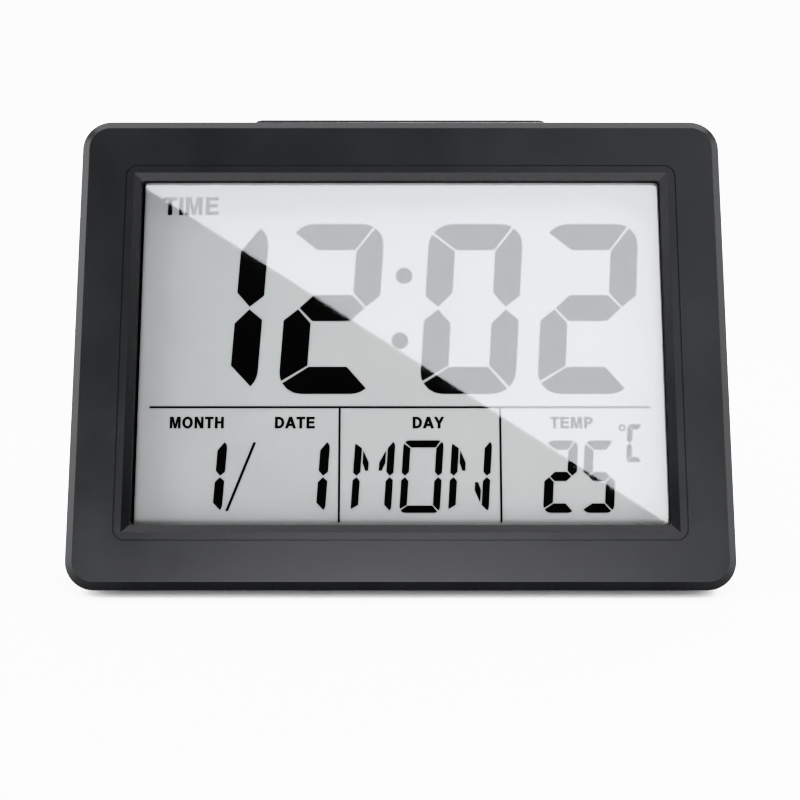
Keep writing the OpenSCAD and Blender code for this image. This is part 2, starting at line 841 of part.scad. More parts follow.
module reflector_sheet() {
    color("white") stand() slab(sheet_y, sheet_y + sheet_t)
        translate([-glass_w / 2, -glass_top]) square([glass_w, guide_top + glass_top]);
}

module backlight_leds() {
    color("ivory") stand() for (x = [-led_x, led_x])
        slab(board_y - led_d, board_y) translate([x, guide_top + fit + led_h / 2]) block(led_w, led_h);
}

module display_holder() {
    low = ledge_low - fit;
    high = glass_top + fit;
    color("whitesmoke") stand() slab(seat_y + layer_gap, board_y) difference() {
        translate([-holder_w / 2, holder_low]) square([holder_w, holder_top - holder_low]);
        translate([-glass_w / 2 - fit, low]) square([glass_w + 2 * fit, high - low]);
    }
}

module contact_strip() {
    color([0.5, 0.5, 0.52]) stand() slab(segment_y, board_y)
        translate([0, ledge_low + fit + strip_t / 2]) block(window_w, strip_t);
}

module main_board() {
    color(board_green) stand() slab(board_y, board_back) difference() {
        union() {
            translate([-holder_w / 2, holder_low]) square([holder_w, holder_top - holder_low]);
            for (z = [-ear_z, ear_z]) translate([0, z]) block(2 * ear_reach, 2 * ear_half);
        }
        for (p = post_places) translate(p) circle(r = small_screw_r + fit);
    }
}

// Drop of hard resin over the chip, with a round top
module chip_cover() {
    ball = (chip_r * chip_r + chip_h * chip_h) / (2 * chip_h);
    top = arc([0, chip_h - ball], ball, asin(1 - chip_h / ball), 90, 6);
    color([0.08, 0.08, 0.08]) stand()
        translate([chip_x, board_back, parts_z]) rotate([-90, 0, 0])
            rotate_extrude() polygon(concat([[0, 0]], top));
}

module quartz_crystal() {
    color(steel_grey) stand()
        translate([crystal_x, board_back + crystal_r, parts_z]) rotate([0, 90, 0])
            cylinder(r = crystal_r, h = crystal_len);
}

module capacitors() {
    top = board_back + capacitor_len;
    color([0.15, 0.2, 0.4]) stand() for (i = [0, 1])
        rod([capacitor_x - i * capacitor_pitch, parts_z], board_back, top, capacitor_r);
}

module board_resistors() {
    first = -(resistor_count - 1) / 2 * resistor_pitch;
    color([0.2, 0.2, 0.2]) stand() for (i = [0 : resistor_count - 1])
        slab(board_back, board_back + resistor_size[2]) translate([first + i * resistor_pitch, resistor_z])
            block(resistor_size[0], resistor_size[1]);
}

module temperature_sensor() {
    color([0.1, 0.1, 0.1]) stand() rod(sensor_place, board_back, board_back + sensor_len, sensor_r);
}

module snooze_switch() {
    color([0.2, 0.2, 0.2]) stand() difference() {
        translate([-switch_half, board_back, holder_top - switch_h])
            cube([2 * switch_half, switch_d, switch_h]);
        translate([0, plunger_y, holder_top - well_d]) cylinder(r = plunger_r + well_fit, h = well_d + past);
    }
}

module board_screws() {
    color(steel_grey) stand() for (p = post_places)
        cross_screw(p, board_back, board_back + small_head_h, small_screw_r, small_screw_len,
            small_head_r, small_head_h);
}

// The rear case

module seam_lip() {
    stand() slab(frame_d - lip_h, frame_d + lip_h) difference() {
        frame_shape(lip_out);
        frame_shape(lip_out + lip_t);
    }
}

module sound_slots() {
    for (i = [0 : slot_count - 1])
        translate([0, (i - (slot_count - 1) / 2) * slot_pitch]) {
            block(slot_len - slot_w, slot_w);
            for (x = [-1, 1]) translate([x * (slot_len - slot_w) / 2, 0]) circle(d = slot_w);
        }
}

module buzzer_seat() {
    place = [buzzer_x, buzzer_z];
    shelf = panel_t + buzzer_gap;
    difference() {
        back_rod(place, panel_t - overlap, shelf + buzzer_rim, buzzer_r + buzzer_ring);
        back_rod(place, 0, shelf + buzzer_rim + past, buzzer_r - buzzer_lip);
        back_rod(place, shelf, shelf + buzzer_rim + past, buzzer_r + fit);
    }
}

module case_fittings() {
    stand() for (p = boss_places) rod(p, boss_len, far, tower_r);
    stand() for (x = [-bar_pin_x, bar_pin_x])
        translate([x - guide_half, plunger_y - guide_half, guide_block_top - guide_block_t])
            cube([2 * guide_half, far, guide_block_t]);
    back_slab(0, collar_d) translate([0, door_z + door_h / 2])
        block(door_w + 2 * (door_gap + collar_t), door_h + 2 * (door_gap + collar_t));
    back_slab(0, door_t + bay_d + bay_wall) translate([0, bay_z + bay_h / 2])
        block(bay_w + 2 * bay_wall, bay_h + 2 * bay_wall);
    for (x = [-key_boss_x, key_boss_x]) back_rod([x, controls_z], panel_t - overlap, key_board_q, key_boss_r);
}

module screw_holes() {
    stand() for (p = boss_places) {
        rod(p, boss_len - past, boss_len + head_seat + past, screw_r + fit);
        rod(p, boss_len + head_seat, far, head_r + fit);
        rod(p, frame_d - lip_h - past, boss_len, boss_r + fit);
    }
    stand() for (p = post_places) rod(p, frame_d - lip_h - past, board_y + past, post_r + fit);
    q = key_board_q;
    for (x = [-key_boss_x, key_boss_x])
        back_rod([x, controls_z], q - small_screw_len, q + past, small_screw_r + screw_fit);
}

module bar_openings() {
    w = bar_w + 2 * (bar_flange + fit);
    stand() {
        translate([0, bar_mid, case_top - wall - past]) linear_extrude(wall + 3 * past)
            rounded(bar_w + 2 * fit, bar_d + 2 * fit, bar_r);
        translate([-w / 2, frame_d - lip_h - past, bar_flange_low - bar_travel - fit])
            cube([w, lip_h + bar_back + 3 * past, case_top - wall - bar_flange_low + bar_travel + fit]);
        for (x = [-bar_pin_x, bar_pin_x])
            translate([x, plunger_y, guide_block_top - guide_block_t - past])
                cylinder(r = bar_pin_r + screw_fit, h = guide_block_t + 2 * past);
    }
}

module control_openings() {
    translate([0, 0, controls_z]) {
        back_slab(-past, controls_d) rounded(controls_w, controls_h, controls_r);
        for (x = key_xs)
            back_slab(0, panel_t + past) translate([x, 0]) rounded(key_w + 2 * fit, key_h + 2 * fit, key_r);
        back_slab(0, panel_t + past) translate([slider_x, 0])
            block(knob_w + slide_travel + 2 * fit, knob_h + 2 * fit);
    }
    for (x = [-buzzer_x, buzzer_x]) back_slab(-past, panel_t + past) translate([x, buzzer_z]) sound_slots();
}

module bay_openings() {
    back_slab(-past, door_t + bay_d) translate([0, bay_z + bay_h / 2]) block(bay_w, bay_h);
    back_slab(-past, door_t + layer_gap) translate([0, door_z + door_h / 2])
        block(door_w + 2 * door_gap, door_h + 2 * door_gap);
    back_slab(-past, door_t + layer_gap) translate([0, door_z + door_h])
        block(tab_w + 2 * door_gap, 2 * (tab_h + door_gap));
    translate([0, back_y - scoop_d + scoop_r, door_z + door_h + tab_h + scoop_rise]) sphere(r = scoop_r);
    translate([0, back_y - hinge_q, hinge_z]) rotate([0, 90, 0])
        cylinder(r = pin_r + pin_fit, h = door_w + 2 * (pin_len + fit), center = true);
    for (z = cell_z)
        slab(bay_front - past, bay_front + bay_wall + past)
            translate([-bay_w / 2 + contact_t / 2 + touch, z])
                block(contact_t + 2 * layer_gap, tail_w + 2 * layer_gap);
}

module rear_case() {
    color(case_black) difference() {
        union() {
            difference() {
                case_block(0, 0);
                case_block(wall, panel_t);
            }
            seam_lip();
            intersection() {
                case_block(0, 0);
                case_fittings();
            }
            buzzer_seat();
        }
        screw_holes();
        bar_openings();
        control_openings();
        bay_openings();
        for (x = [-foot_x, foot_x]) for (y = foot_ys)
            translate([x, y, 0]) cylinder(r = foot_r + fit / 2, h = foot_h + foot_seat);
    }
}

module case_screws() {
    y = boss_len + head_seat;
    color(steel_grey) stand() for (p = boss_places)
        cross_screw(p, y, y + head_h, screw_r, screw_len, head_r, head_h);
}

module feet() {
    color([0.1, 0.1, 0.1]) for (x = [-foot_x, foot_x]) for (y = foot_ys)
        translate([x, y, 0]) cylinder(r = foot_r, h = foot_h + foot_seat);
}

module snooze_bar() {
    rise = case_top + bar_rise;
    edge = concat(
        round_corner([2 * bar_soft, 0], [0, 0], [0, 2 * bar_soft], bar_soft, 4),
        [[0, rise - bar_flange_low]]);
    color(key_grey) stand() {
        translate([0, bar_mid, rise]) rotate([-90, 0, 0]) edged_plate(bar_w, bar_d, bar_r, edge);
        translate([0, bar_mid, bar_flange_low]) linear_extrude(bar_flange_t)
            block(bar_w + 2 * bar_flange, bar_d + 2 * bar_flange);
        translate([0, plunger_y, holder_top - plunger_dip])
            cylinder(r = plunger_r, h = bar_flange_low - holder_top + plunger_dip + overlap);
        for (x = [-bar_pin_x, bar_pin_x])
            translate([x, plunger_y, guide_block_top - guide_block_t])
                cylinder(r = bar_pin_r, h = bar_flange_low - guide_block_top + guide_block_t + overlap);
    }
}

// Batteries

module battery_door() {
    color(case_black) difference() {
        union() {
            back_slab(0, door_t) translate([-door_w / 2, hinge_z]) square([door_w, door_h - hinge_r]);
            translate([0, back_y - hinge_q, hinge_z]) rotate([0, 90, 0]) {
                cylinder(r = hinge_r, h = door_w, center = true);
                cylinder(r = pin_r, h = door_w + 2 * pin_len, center = true);
            }
            back_slab(0, door_t) translate([0, door_z + door_h]) block(tab_w, 2 * tab_h);
        }
        for (i = [0 : grip_count - 1])
            back_slab(-past, grip_d) translate([0, door_z + door_h - grip_drop - i * grip_pitch])
                block(grip_w, grip_h);
    }
}

// One cell that lies along X with its button end at the left when way is 1, at the right when it is -1
module cell(way, z) {
    button_x = -bay_w / 2 + contact_t + 2 * touch;
    translate([0, cell_y, z]) rotate([0, way > 0 ? 0 : 180, 0]) {
        translate([button_x, 0, 0]) rotate([0, 90, 0]) cylinder(r = button_r, h = button_len + overlap);
        translate([button_x + button_len, 0, 0]) rotate([0, 90, 0])
            cylinder(d = cell_d, h = cell_l - button_len);
    }
}

module battery_cells() {
    color([0.75, 0.6, 0.25]) {
        cell(-1, cell_z[0]);
        cell(1, cell_z[1]);
    }
}

spring_steps = spring_turns * spring_rings;
spring_ends = [contact_t + touch + wire_r + touch, contact_t + touch + spring_l - wire_r - touch];

function spring_radius(i) = spring_r[0] + (spring_r[1] - spring_r[0]) * i / spring_steps;

function spring_side(i) = [0, cos(360 * i / spring_rings), sin(360 * i / spring_rings)];

function spring_along(i) = spring_ends[0] + (spring_ends[1] - spring_ends[0]) * i / spring_steps;

spring_points = [for (i = [0 : spring_steps]) [spring_along(i), 0, 0] + spring_radius(i) * spring_side(i)];

spring_gap = min([for (i = [0 : spring_steps - spring_rings])
    norm(spring_points[i + spring_rings] - spring_points[i]) - 2 * wire_r]);
echo(least_spring_gap = spring_gap);

module contact_springs() {
    sides = [for (i = [0 : spring_steps]) spring_side(i)];
    color(steel_grey) for (i = [0, 1])
        translate([0, cell_y, cell_z[i]]) rotate([0, i * 180, 0])
            translate([-bay_w / 2, 0, 0]) tube(spring_points, sides, wire_r, 6);
}

module contact_plates() {
    x = -bay_w / 2 + touch;
    color(steel_grey) {
        for (z = cell_z) {
            translate([x, cell_y - contact_half, z - contact_half])
                cube([contact_t, 2 * contact_half, 2 * contact_half]);
            translate([x, bay_front - tail_out, z - tail_w / 2])
                cube([contact_t, cell_y - bay_front + tail_out, tail_w]);
        }
        translate([-x - contact_t, cell_y - contact_half, cell_z[0] - contact_half])
            cube([contact_t, 2 * contact_half, cell_z[1] - cell_z[0] + 2 * contact_half]);
    }
}

// Leads from the contact tails to the main board
module battery_lead(z, x_board, z_board) {
    start = [-bay_w / 2 + touch + contact_t / 2, bay_front - tail_out - touch, z];
    finish = standing([x_board, board_back + touch, z_board]);
    lead(start, [0, -lead_pull, 0], finish, standing_way([0, lead_pull, 0]), lead_r);
}

module positive_lead() {
    color("firebrick") battery_lead(cell_z[1], lead_x, lead_zs[1]);
}

module negative_lead() {
    color([0.1, 0.1, 0.1]) battery_lead(cell_z[0], lead_x, lead_zs[0]);
}

// Keys and slider

module key_board() {
    q = key_board_q;
    color(board_green) translate([0, 0, controls_z]) back_slab(q, q + board_t) difference() {
        block(key_board_w, key_board_h);
        for (x = [-key_boss_x, key_boss_x]) translate([x, 0]) circle(r = small_screw_r + fit);
    }
}

module key_switches() {
    color([0.2, 0.2, 0.2]) for (x = key_xs)
        translate([x, 0, controls_z]) difference() {
            back_slab(key_switch_q, key_board_q) block(2 * key_switch_half, 2 * key_switch_half);
            back_rod([0, 0], key_switch_q - past, key_switch_q + key_well_d, stem_r + well_fit);
        }
}

module key_board_screws() {
    q = key_board_q + board_t;
    shank = small_screw_len - overlap;
    color(steel_grey) for (x = [-key_boss_x, key_boss_x])
        translate([x, back_y - q, controls_z]) rotate([0, 0, 180])
            cross_screw([0, 0], 0, small_head_h, small_screw_r, shank, small_head_r, small_head_h);
}

module push_key(i) {
    edge = [[key_soft, 0], [0, key_soft], [0, flange_q + key_flange_t - key_top]];
    color(key_grey) translate([key_xs[i], 0, controls_z]) {
        translate([0, back_y - key_top, 0]) rotate([0, 0, 180]) edged_plate(key_w, key_h, key_r, edge);
        back_slab(flange_q, flange_q + key_flange_t) block(key_w + 2 * key_flange, key_h + 2 * key_flange);
        back_rod([0, 0], flange_q, key_switch_q + stem_dip, stem_r);
    }
}

module slide_switch() {
    color(steel_grey) translate([slider_x, 0, controls_z]) difference() {
        back_slab(slide_switch_q, key_board_q) block(slide_switch_w, slide_switch_h);
        back_slab(slide_switch_q - past, slide_switch_q + lever_d + layer_gap)
            block(lever_w + slide_travel + 2 * fit, lever_h + 2 * lever_fit);
    }
}

module slide_lever() {
    color([0.1, 0.1, 0.1]) translate([slider_rest, 0, controls_z])
        back_slab(lever_tip, slide_switch_q + lever_d) block(lever_w, lever_h);
}

module alarm_slider() {
    fork_end = slide_switch_q - fit;
    color(key_grey) translate([slider_rest, 0, controls_z]) difference() {
        union() {
            back_slab(key_top, flange_q + key_flange_t) block(knob_w, knob_h);
            back_slab(flange_q, flange_q + key_flange_t) block(slider_flange_w, slider_flange_h);
            back_slab(flange_q, fork_end) block(knob_w, knob_h);
        }
        back_slab(lever_tip - layer_gap, fork_end + past)
            block(lever_w + 2 * lever_fit, lever_h + 2 * lever_fit);
        for (x = [-1, 0, 1])
            back_slab(-past, key_top + knob_groove) translate([x * knob_w / 4, 0])
                block(knob_groove, 2 * knob_h);
    }
}

// Buzzer and ribbon

module buzzer_disc() {
    q = panel_t + buzzer_gap;
    color([0.75, 0.6, 0.25]) back_rod([buzzer_x, buzzer_z], q, q + disc_t, buzzer_r);
}

module buzzer_element() {
    q = panel_t + buzzer_gap + disc_t;
    color("whitesmoke") back_rod([buzzer_x, buzzer_z], q, q + element_t, element_r);
}

module buzzer_leads() {
    q = panel_t + buzzer_gap + disc_t + element_t + touch;
    color("firebrick") for (i = [0, 1]) {
        x = buzzer_x - i * thin_lead_pitch;
        start = [x, back_y - q, buzzer_z + thin_lead_rise];
        finish = standing([x - thin_lead_shift, board_back + touch, thin_lead_z]);
        lead(start, [0, -thin_lead_pull, 0], finish, standing_way([0, thin_lead_pull, 0]), thin_lead_r);
    }
}

module ribbon_cable() {
    start = [back_y - key_board_q - board_t - touch, controls_z - key_board_h / 2 + ribbon_edge];
    board = standing([0, board_back + touch, ribbon_z]);
    way = standing_way([0, lead_pull, 0]);
    finish = [board[1], board[2]];
    points = bend(start, start - [lead_pull, 0], finish + [way[1], way[2]], finish, lead_steps);
    one = [for (i = [0 : lead_steps]) points[i] + ribbon_t / 2 * turned(along(points, i), 90)];
    two = [for (i = [lead_steps : -1 : 0]) points[i] - ribbon_t / 2 * turned(along(points, i), 90)];
    color("silver") translate([ribbon_x, 0, 0]) across(ribbon_w) polygon(concat(one, two));
}

front_frame();
display_lens();
front_polarizer();
front_glass();
display_segments();
rear_glass();
rear_polarizer();
light_guide();
reflector_sheet();
backlight_leds();
display_holder();
contact_strip();
main_board();
chip_cover();
quartz_crystal();
capacitors();
board_resistors();
temperature_sensor();
snooze_switch();
board_screws();
rear_case();
case_screws();
feet();
snooze_bar();
battery_door();
battery_cells();
contact_springs();
contact_plates();
positive_lead();
negative_lead();
key_board();
key_switches();
key_board_screws();
push_key(0);  // set_key
push_key(1);  // up_key
push_key(2);  // down_key
push_key(3);  // unit_key
push_key(4);  // alarm_key
slide_switch();
slide_lever();
alarm_slider();
buzzer_disc();
buzzer_element();
buzzer_leads();
ribbon_cable();
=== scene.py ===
"""Dresses the desk alarm clock: soft edges, finishes, printed words, cells, springs, light and camera."""
import json
import math

import bmesh
import bpy
from mathutils import Matrix, Vector


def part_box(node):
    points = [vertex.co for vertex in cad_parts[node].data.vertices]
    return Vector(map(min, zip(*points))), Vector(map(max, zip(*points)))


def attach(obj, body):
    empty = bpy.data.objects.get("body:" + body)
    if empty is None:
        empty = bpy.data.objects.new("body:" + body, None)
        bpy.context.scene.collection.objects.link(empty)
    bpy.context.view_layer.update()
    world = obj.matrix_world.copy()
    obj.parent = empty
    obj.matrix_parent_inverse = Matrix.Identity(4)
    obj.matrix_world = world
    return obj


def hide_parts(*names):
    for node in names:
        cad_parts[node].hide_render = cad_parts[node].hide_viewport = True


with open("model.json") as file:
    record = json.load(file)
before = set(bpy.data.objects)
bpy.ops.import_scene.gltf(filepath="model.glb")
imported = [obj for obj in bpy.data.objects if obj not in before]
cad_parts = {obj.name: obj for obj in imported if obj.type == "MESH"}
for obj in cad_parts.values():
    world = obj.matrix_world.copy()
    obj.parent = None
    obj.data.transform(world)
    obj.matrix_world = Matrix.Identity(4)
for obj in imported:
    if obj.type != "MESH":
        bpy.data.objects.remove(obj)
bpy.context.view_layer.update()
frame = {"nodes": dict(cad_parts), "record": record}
nodes = frame["nodes"]
record = frame["record"]
scene = bpy.context.scene
slot_of = {part["node"]: part["material_slot"] for part in record["subparts"]}
body_of = {node: body for body, held in record["behaviour"]["bodies"].items() for node in held}

MM = 0.001
MERGE = 0.001 * MM
FLAT = math.radians(0.5)
SHARP = math.radians(20)
FOLDED = math.radians(150)
CREASE = math.radians(38)
QUARTER = math.tau / 4

# Places: on the leaning window, on the back panel and on top of the snooze bar

LEAN = math.radians(15)
RIGHT = Vector((1, 0, 0))
BEHIND = Vector((0, 1, 0))
UP = Vector((0, 0, 1))
FACE_UP = Vector((0, math.sin(LEAN), math.cos(LEAN)))
FACE_OUT = Vector((0, -math.cos(LEAN), math.sin(LEAN)))


def place_at(origin, right, up, out):
    """A place whose own X, Y and Z axes run right, up and out of a surface."""
    return Matrix.Translation(origin) @ Matrix((right, up, out)).transposed().to_4x4()


def middle(node):
    """Middle of a CAD node's box."""
    low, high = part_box(node)
    return (low + high) / 2


def reach(place, node):
    """Lowest and highest corner of a CAD node along a place's own axes."""
    inward = place.inverted()
    points = [inward @ vertex.co for vertex in nodes[node].data.vertices]
    low = Vector([min(point[axis] for point in points) for axis in range(3)])
    high = Vector([max(point[axis] for point in points) for axis in range(3)])
    return low, high


WINDOW = place_at(middle("display_lens"), RIGHT, FACE_UP, FACE_OUT)
BACK = place_at(Vector((0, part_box("rear_case")[1].y, 0)), -RIGHT, UP, BEHIND)
BAR = place_at(middle("snooze_bar"), RIGHT, -FACE_OUT, FACE_UP)


# Finishes

class Wire:
    """A socket in a finish. Arithmetic on wires adds Math nodes."""

    def __init__(self, finish, socket):
        self.finish = finish
        self.socket = socket

    def other(self, output):
        return Wire(self.finish, self.socket.node.outputs[output])

    def __add__(self, other):
        return self.finish.maths("ADD", self, other)

    def __radd__(self, other):
        return self.finish.maths("ADD", other, self)

    def __sub__(self, other):
        return self.finish.maths("SUBTRACT", self, other)

    def __rsub__(self, other):
        return self.finish.maths("SUBTRACT", other, self)

    def __mul__(self, other):
        return self.finish.maths("MULTIPLY", self, other)

    def __rmul__(self, other):
        return self.finish.maths("MULTIPLY", other, self)

    def __truediv__(self, other):
        return self.finish.maths("DIVIDE", self, other)

    def __rtruediv__(self, other):
        return self.finish.maths("DIVIDE", other, self)

    def __mod__(self, other):
        return self.finish.maths("FLOORED_MODULO", self, other)

    def __rmod__(self, other):
        return self.finish.maths("FLOORED_MODULO", other, self)

    def __lt__(self, other):
        return self.finish.maths("LESS_THAN", self, other)

    def __gt__(self, other):
        return self.finish.maths("GREATER_THAN", self, other)


class Finish:
    """A material, or the world, and the nodes that make it."""

    def __init__(self, owner):
        owner.use_nodes = True
        self.owner = owner
        self.tree = owner.node_tree
        self.tree.nodes.clear()

    def node(self, kind, settings=None, sockets=None, output=0):
        made = self.tree.nodes.new(kind)
        for name, value in (settings or {}).items():
            setattr(made, name, value)
        for name, value in (sockets or {}).items():
            if isinstance(value, Wire):
                self.tree.links.new(value.socket, made.inputs[name])
            else:
                made.inputs[name].default_value = value
        return Wire(self, made.outputs[output] if len(made.outputs) else None)

    def maths(self, operation, first, second=0.0):
        return self.node("ShaderNodeMath", {"operation": operation}, {0: first, 1: second})

    def place(self):
        return self.node("ShaderNodeTexCoord", output="Object")

    def axes(self):
        parts = self.node("ShaderNodeSeparateXYZ", sockets={"Vector": self.place()})
        return parts, parts.other("Y"), parts.other("Z")

    def noise(self, grain, detail=2.0, stretch=(1, 1, 1)):
        """Cloudy noise whose spots are about one grain across."""
        where = self.node("ShaderNodeMapping", sockets={"Vector": self.place(), "Scale": stretch})
        sockets = {"Vector": where, "Scale": 1 / grain, "Detail": detail}
        return self.node("ShaderNodeTexNoise", sockets=sockets)

    def spread(self, value, low, high):
        """A value from 0 at low to 1 at high, held there outside them."""
        sockets = {"Value": value, "From Min": low, "From Max": high}
        return self.node("ShaderNodeMapRange", {"clamp": True}, sockets)

    def blend(self, share, first, second):
        settings = {"data_type": "RGBA"}
        return self.node("ShaderNodeMix", settings, {0: share, 6: first, 7: second}, output=2)

    def bump(self, height, depth):
        sockets = {"Height": height, "Distance": depth, "Strength": 1.0}
        return self.node("ShaderNodeBump", sockets=sockets)

    def mixed(self, share, first, second):
        return self.node("ShaderNodeMixShader", sockets={0: share, 1: first, 2: second})

    def ends_in(self, surface, kind="ShaderNodeOutputMaterial"):
        self.node(kind, sockets={"Surface": surface})
        return self.owner

    def shell(self, sockets):
        return self.ends_in(self.node("ShaderNodeBsdfPrincipled", sockets=sockets))


def finish_named(name):
    return Finish(bpy.data.materials.new(name))


def grey(value, warmth=0.0):
    """A grey, with more red and less blue as it gets warmer."""
    return (value * (1 + warmth), value, value * (1 - warmth), 1)


COOL = (0.965, 0.965, 1.0, 1)
COOLNESS = -0.03
WHITE = (1, 1, 1, 1)


def spark_moulding(name, tone, gloss, grain, depth):
    """Black plastic from a spark-eroded mould: fine pits, faint clouds, slightly uneven, cool sheen."""
    finish = finish_named(name)
    clouds = finish.noise(16 * MM, 3)
    pits = finish.noise(grain, 1) * 0.7 + finish.noise(3 * grain, 2) * 0.3
    return finish.shell({
        "Base Color": finish.blend(clouds, grey(0.8 * tone, COOLNESS), grey(1.2 * tone, COOLNESS)),
        "Roughness": gloss + 0.16 * (clouds - 0.5) + 0.10 * (pits - 0.5),
        "Specular IOR Level": 0.32,
        "Specular Tint": COOL,
        "Normal": finish.bump(pits, depth),
    })


def satin_moulding(name, tone, gloss):
    """Smoother black plastic of the keys, rubbed a little shinier in patches."""
    finish = finish_named(name)
    rubbed = finish.spread(finish.noise(5 * MM, 4), 0.35, 0.7)
    grain = finish.noise(0.12 * MM, 1)
    return finish.shell({
        "Base Color": finish.blend(rubbed, grey(0.85 * tone, COOLNESS), grey(1.15 * tone, COOLNESS)),
        "Roughness": gloss - 0.10 * rubbed + 0.06 * grain,
        "Specular IOR Level": 0.4,
        "Specular Tint": COOL,
        "Normal": finish.bump(grain, 0.006 * MM),
    })


WINDOW_IOR = 1.49
POLISHED_SIDES = 1.5


def window_gloss():
    """Polished front of the clear window, which mirrors a little more than one polished surface does."""
    finish = finish_named("window_gloss")
    inside = finish.node("ShaderNodeNewGeometry", output="Backfacing")
    haze = finish.noise(9 * MM, 3)
    share = POLISHED_SIDES * finish.node("ShaderNodeFresnel", sockets={"IOR": WINDOW_IOR}) * (1 - inside)
    clear = finish.node("ShaderNodeBsdfTransparent", sockets={"Color": WHITE})
    mirror = finish.node("ShaderNodeBsdfPrincipled", sockets={
        "Base Color": WHITE, "Metallic": 1.0, "Roughness": 0.015 + 0.02 * haze})
    return finish.ends_in(finish.mixed(share, clear, mirror))


def clear_sheet(name, tint, haze_share):
    """Clear film or glass with the faintest haze."""
    finish = finish_named(name)
    share = haze_share * finish.spread(finish.noise(6 * MM, 3), 0.3, 0.8)
    clear = finish.node("ShaderNodeBsdfTransparent", sockets={"Color": tint})
    haze = finish.node("ShaderNodeBsdfPrincipled", sockets={"Base Color": grey(0.6), "Roughness": 0.5})
    return finish.ends_in(finish.mixed(share, clear, haze))


# Darker and lighter greys of the display ground; painted light spreads it between them from left to right,
# along with clouds and sparkle
DISPLAY_DARKER = (0.358, 0.368, 0.373, 1)
DISPLAY_LIGHTER = (0.500, 0.511, 0.516, 1)
DISPLAY_HALF_W = 50 * MM


def display_grey():
    """Silvery grey ground of the display: fine sparkle, faint clouds, and painted light that makes it darker
    to the left and brighter to the right.
    """
    finish = finish_named("display_grey")
    x = finish.axes()[0]
    sparkle = finish.noise(0.10 * MM, 1)
    clouds = finish.noise(14 * MM, 2)
    # Painted light: the ground is darker to the left and brighter to the right
    painted_light_rightward = finish.spread(x, -DISPLAY_HALF_W, DISPLAY_HALF_W)
    tone = 0.5 * painted_light_rightward + 0.3 * clouds + 0.2 * sparkle
    return finish.shell({
        "Base Color": finish.blend(tone, DISPLAY_DARKER, DISPLAY_LIGHTER),
        "Roughness": 0.62 + 0.1 * sparkle,
        "Specular IOR Level": 0.15,
    })


def display_ink():
    """Black of the display's digits and words, with the faintest flecks."""
    finish = finish_named("display_ink")
    fleck = finish.noise(0.3 * MM, 2)
    return finish.shell({
        "Base Color": finish.blend(fleck, grey(0.002), grey(0.004)),
        "Roughness": 0.6 + 0.1 * fleck,
        "Specular IOR Level": 0.05,
    })


def pale_print(tone):
    """Pale pad-printed ink, a little thin in places."""
    finish = finish_named("pale_print")
    thin = finish.spread(finish.noise(0.35 * MM, 3), 0.3, 0.7)
    return finish.shell({
        "Base Color": finish.blend(thin, grey(0.78 * tone), grey(tone)),
        "Roughness": 0.55 + 0.1 * thin,
    })


def white_moulding():
    """White plastic of the parts inside the case."""
    finish = finish_named("white_moulding")
    clouds = finish.noise(8 * MM, 3)
    return finish.shell({
        "Base Color": finish.blend(clouds, grey(0.70, 0.01), grey(0.80, 0.02)),
        "Roughness": 0.4 + 0.2 * clouds,
        "Normal": finish.bump(finish.noise(0.2 * MM, 1), 0.008 * MM),
    })


def rubber(name, tone):
    """Dull rubber with a fine grain and a little dust."""
    finish = finish_named(name)
    grain = finish.noise(0.25 * MM, 3)
    dust = finish.spread(finish.noise(2.5 * MM, 4), 0.45, 0.8)
    return finish.shell({
        "Base Color": finish.blend(dust, grey(tone), grey(1.5 * tone, 0.03)),
        "Roughness": 0.75 + 0.15 * grain,
        "Normal": finish.bump(grain, 0.02 * MM),
    })


TRACK_W = 0.5 * MM
TRACK_ROWS = 1.27 * MM
TRACK_COLUMNS = 2.54 * MM


def circuit_board():
    """Green lacquer over copper tracks that run along and across the board."""
    finish = finish_named("circuit_board")
    x, _, z = finish.axes()
    rows = (z % TRACK_ROWS) < TRACK_W
    columns = (x % TRACK_COLUMNS) < TRACK_W
    field = finish.noise(7 * MM, 0) > 0.5
    tracks = rows * field + columns * (1 - field)
    return finish.shell({
        "Base Color": finish.blend(tracks, (0.006, 0.055, 0.022, 1), (0.018, 0.120, 0.045, 1)),
        "Roughness": 0.34 - 0.08 * tracks,
        "Normal": finish.bump(tracks, 0.03 * MM),
    })


def black_resin():
    """Gritty black resin of the small parts on the boards."""
    finish = finish_named("black_resin")
    grit = finish.noise(0.3 * MM, 3)
    return finish.shell({
        "Base Color": finish.blend(grit, grey(0.010), grey(0.028)),
        "Roughness": 0.45 + 0.2 * grit,
        "Normal": finish.bump(grit, 0.02 * MM),
    })


def shrunk_sleeve(name, colour, dark):
    """Printed plastic sleeve, shrunk on with faint waves."""
    finish = finish_named(name)
    waves = finish.noise(2.2 * MM, 2)
    return finish.shell({
        "Base Color": finish.blend(waves, dark, colour),
        "Roughness": 0.28 + 0.12 * waves,
        "Coat Weight": 0.3 + 0.2 * waves,
        "Normal": finish.bump(waves, 0.02 * MM),
    })


def metal(name, colour, dull, gloss, stretch):
    """Plated metal with rolling marks and a few dull patches."""
    finish = finish_named(name)
    marks = finish.noise(0.6 * MM, 4, stretch)
    patches = finish.spread(finish.noise(3 * MM, 3), 0.4, 0.75)
    return finish.shell({
        "Base Color": finish.blend(patches, colour, dull),
        "Metallic": 1.0,
        "Roughness": gloss + 0.18 * marks + 0.12 * patches,
        "Normal": finish.bump(marks, 0.006 * MM),
    })


def wire_cover(name, colour, dark):
    """Soft plastic cover of a lead, a little scuffed."""
    finish = finish_named(name)
    scuffs = finish.noise(1.2 * MM, 3)
    return finish.shell({
        "Base Color": finish.blend(scuffs, dark, colour),
        "Roughness": 0.38 + 0.15 * scuffs,
    })


RIBBON_PITCH = 1.0 * MM


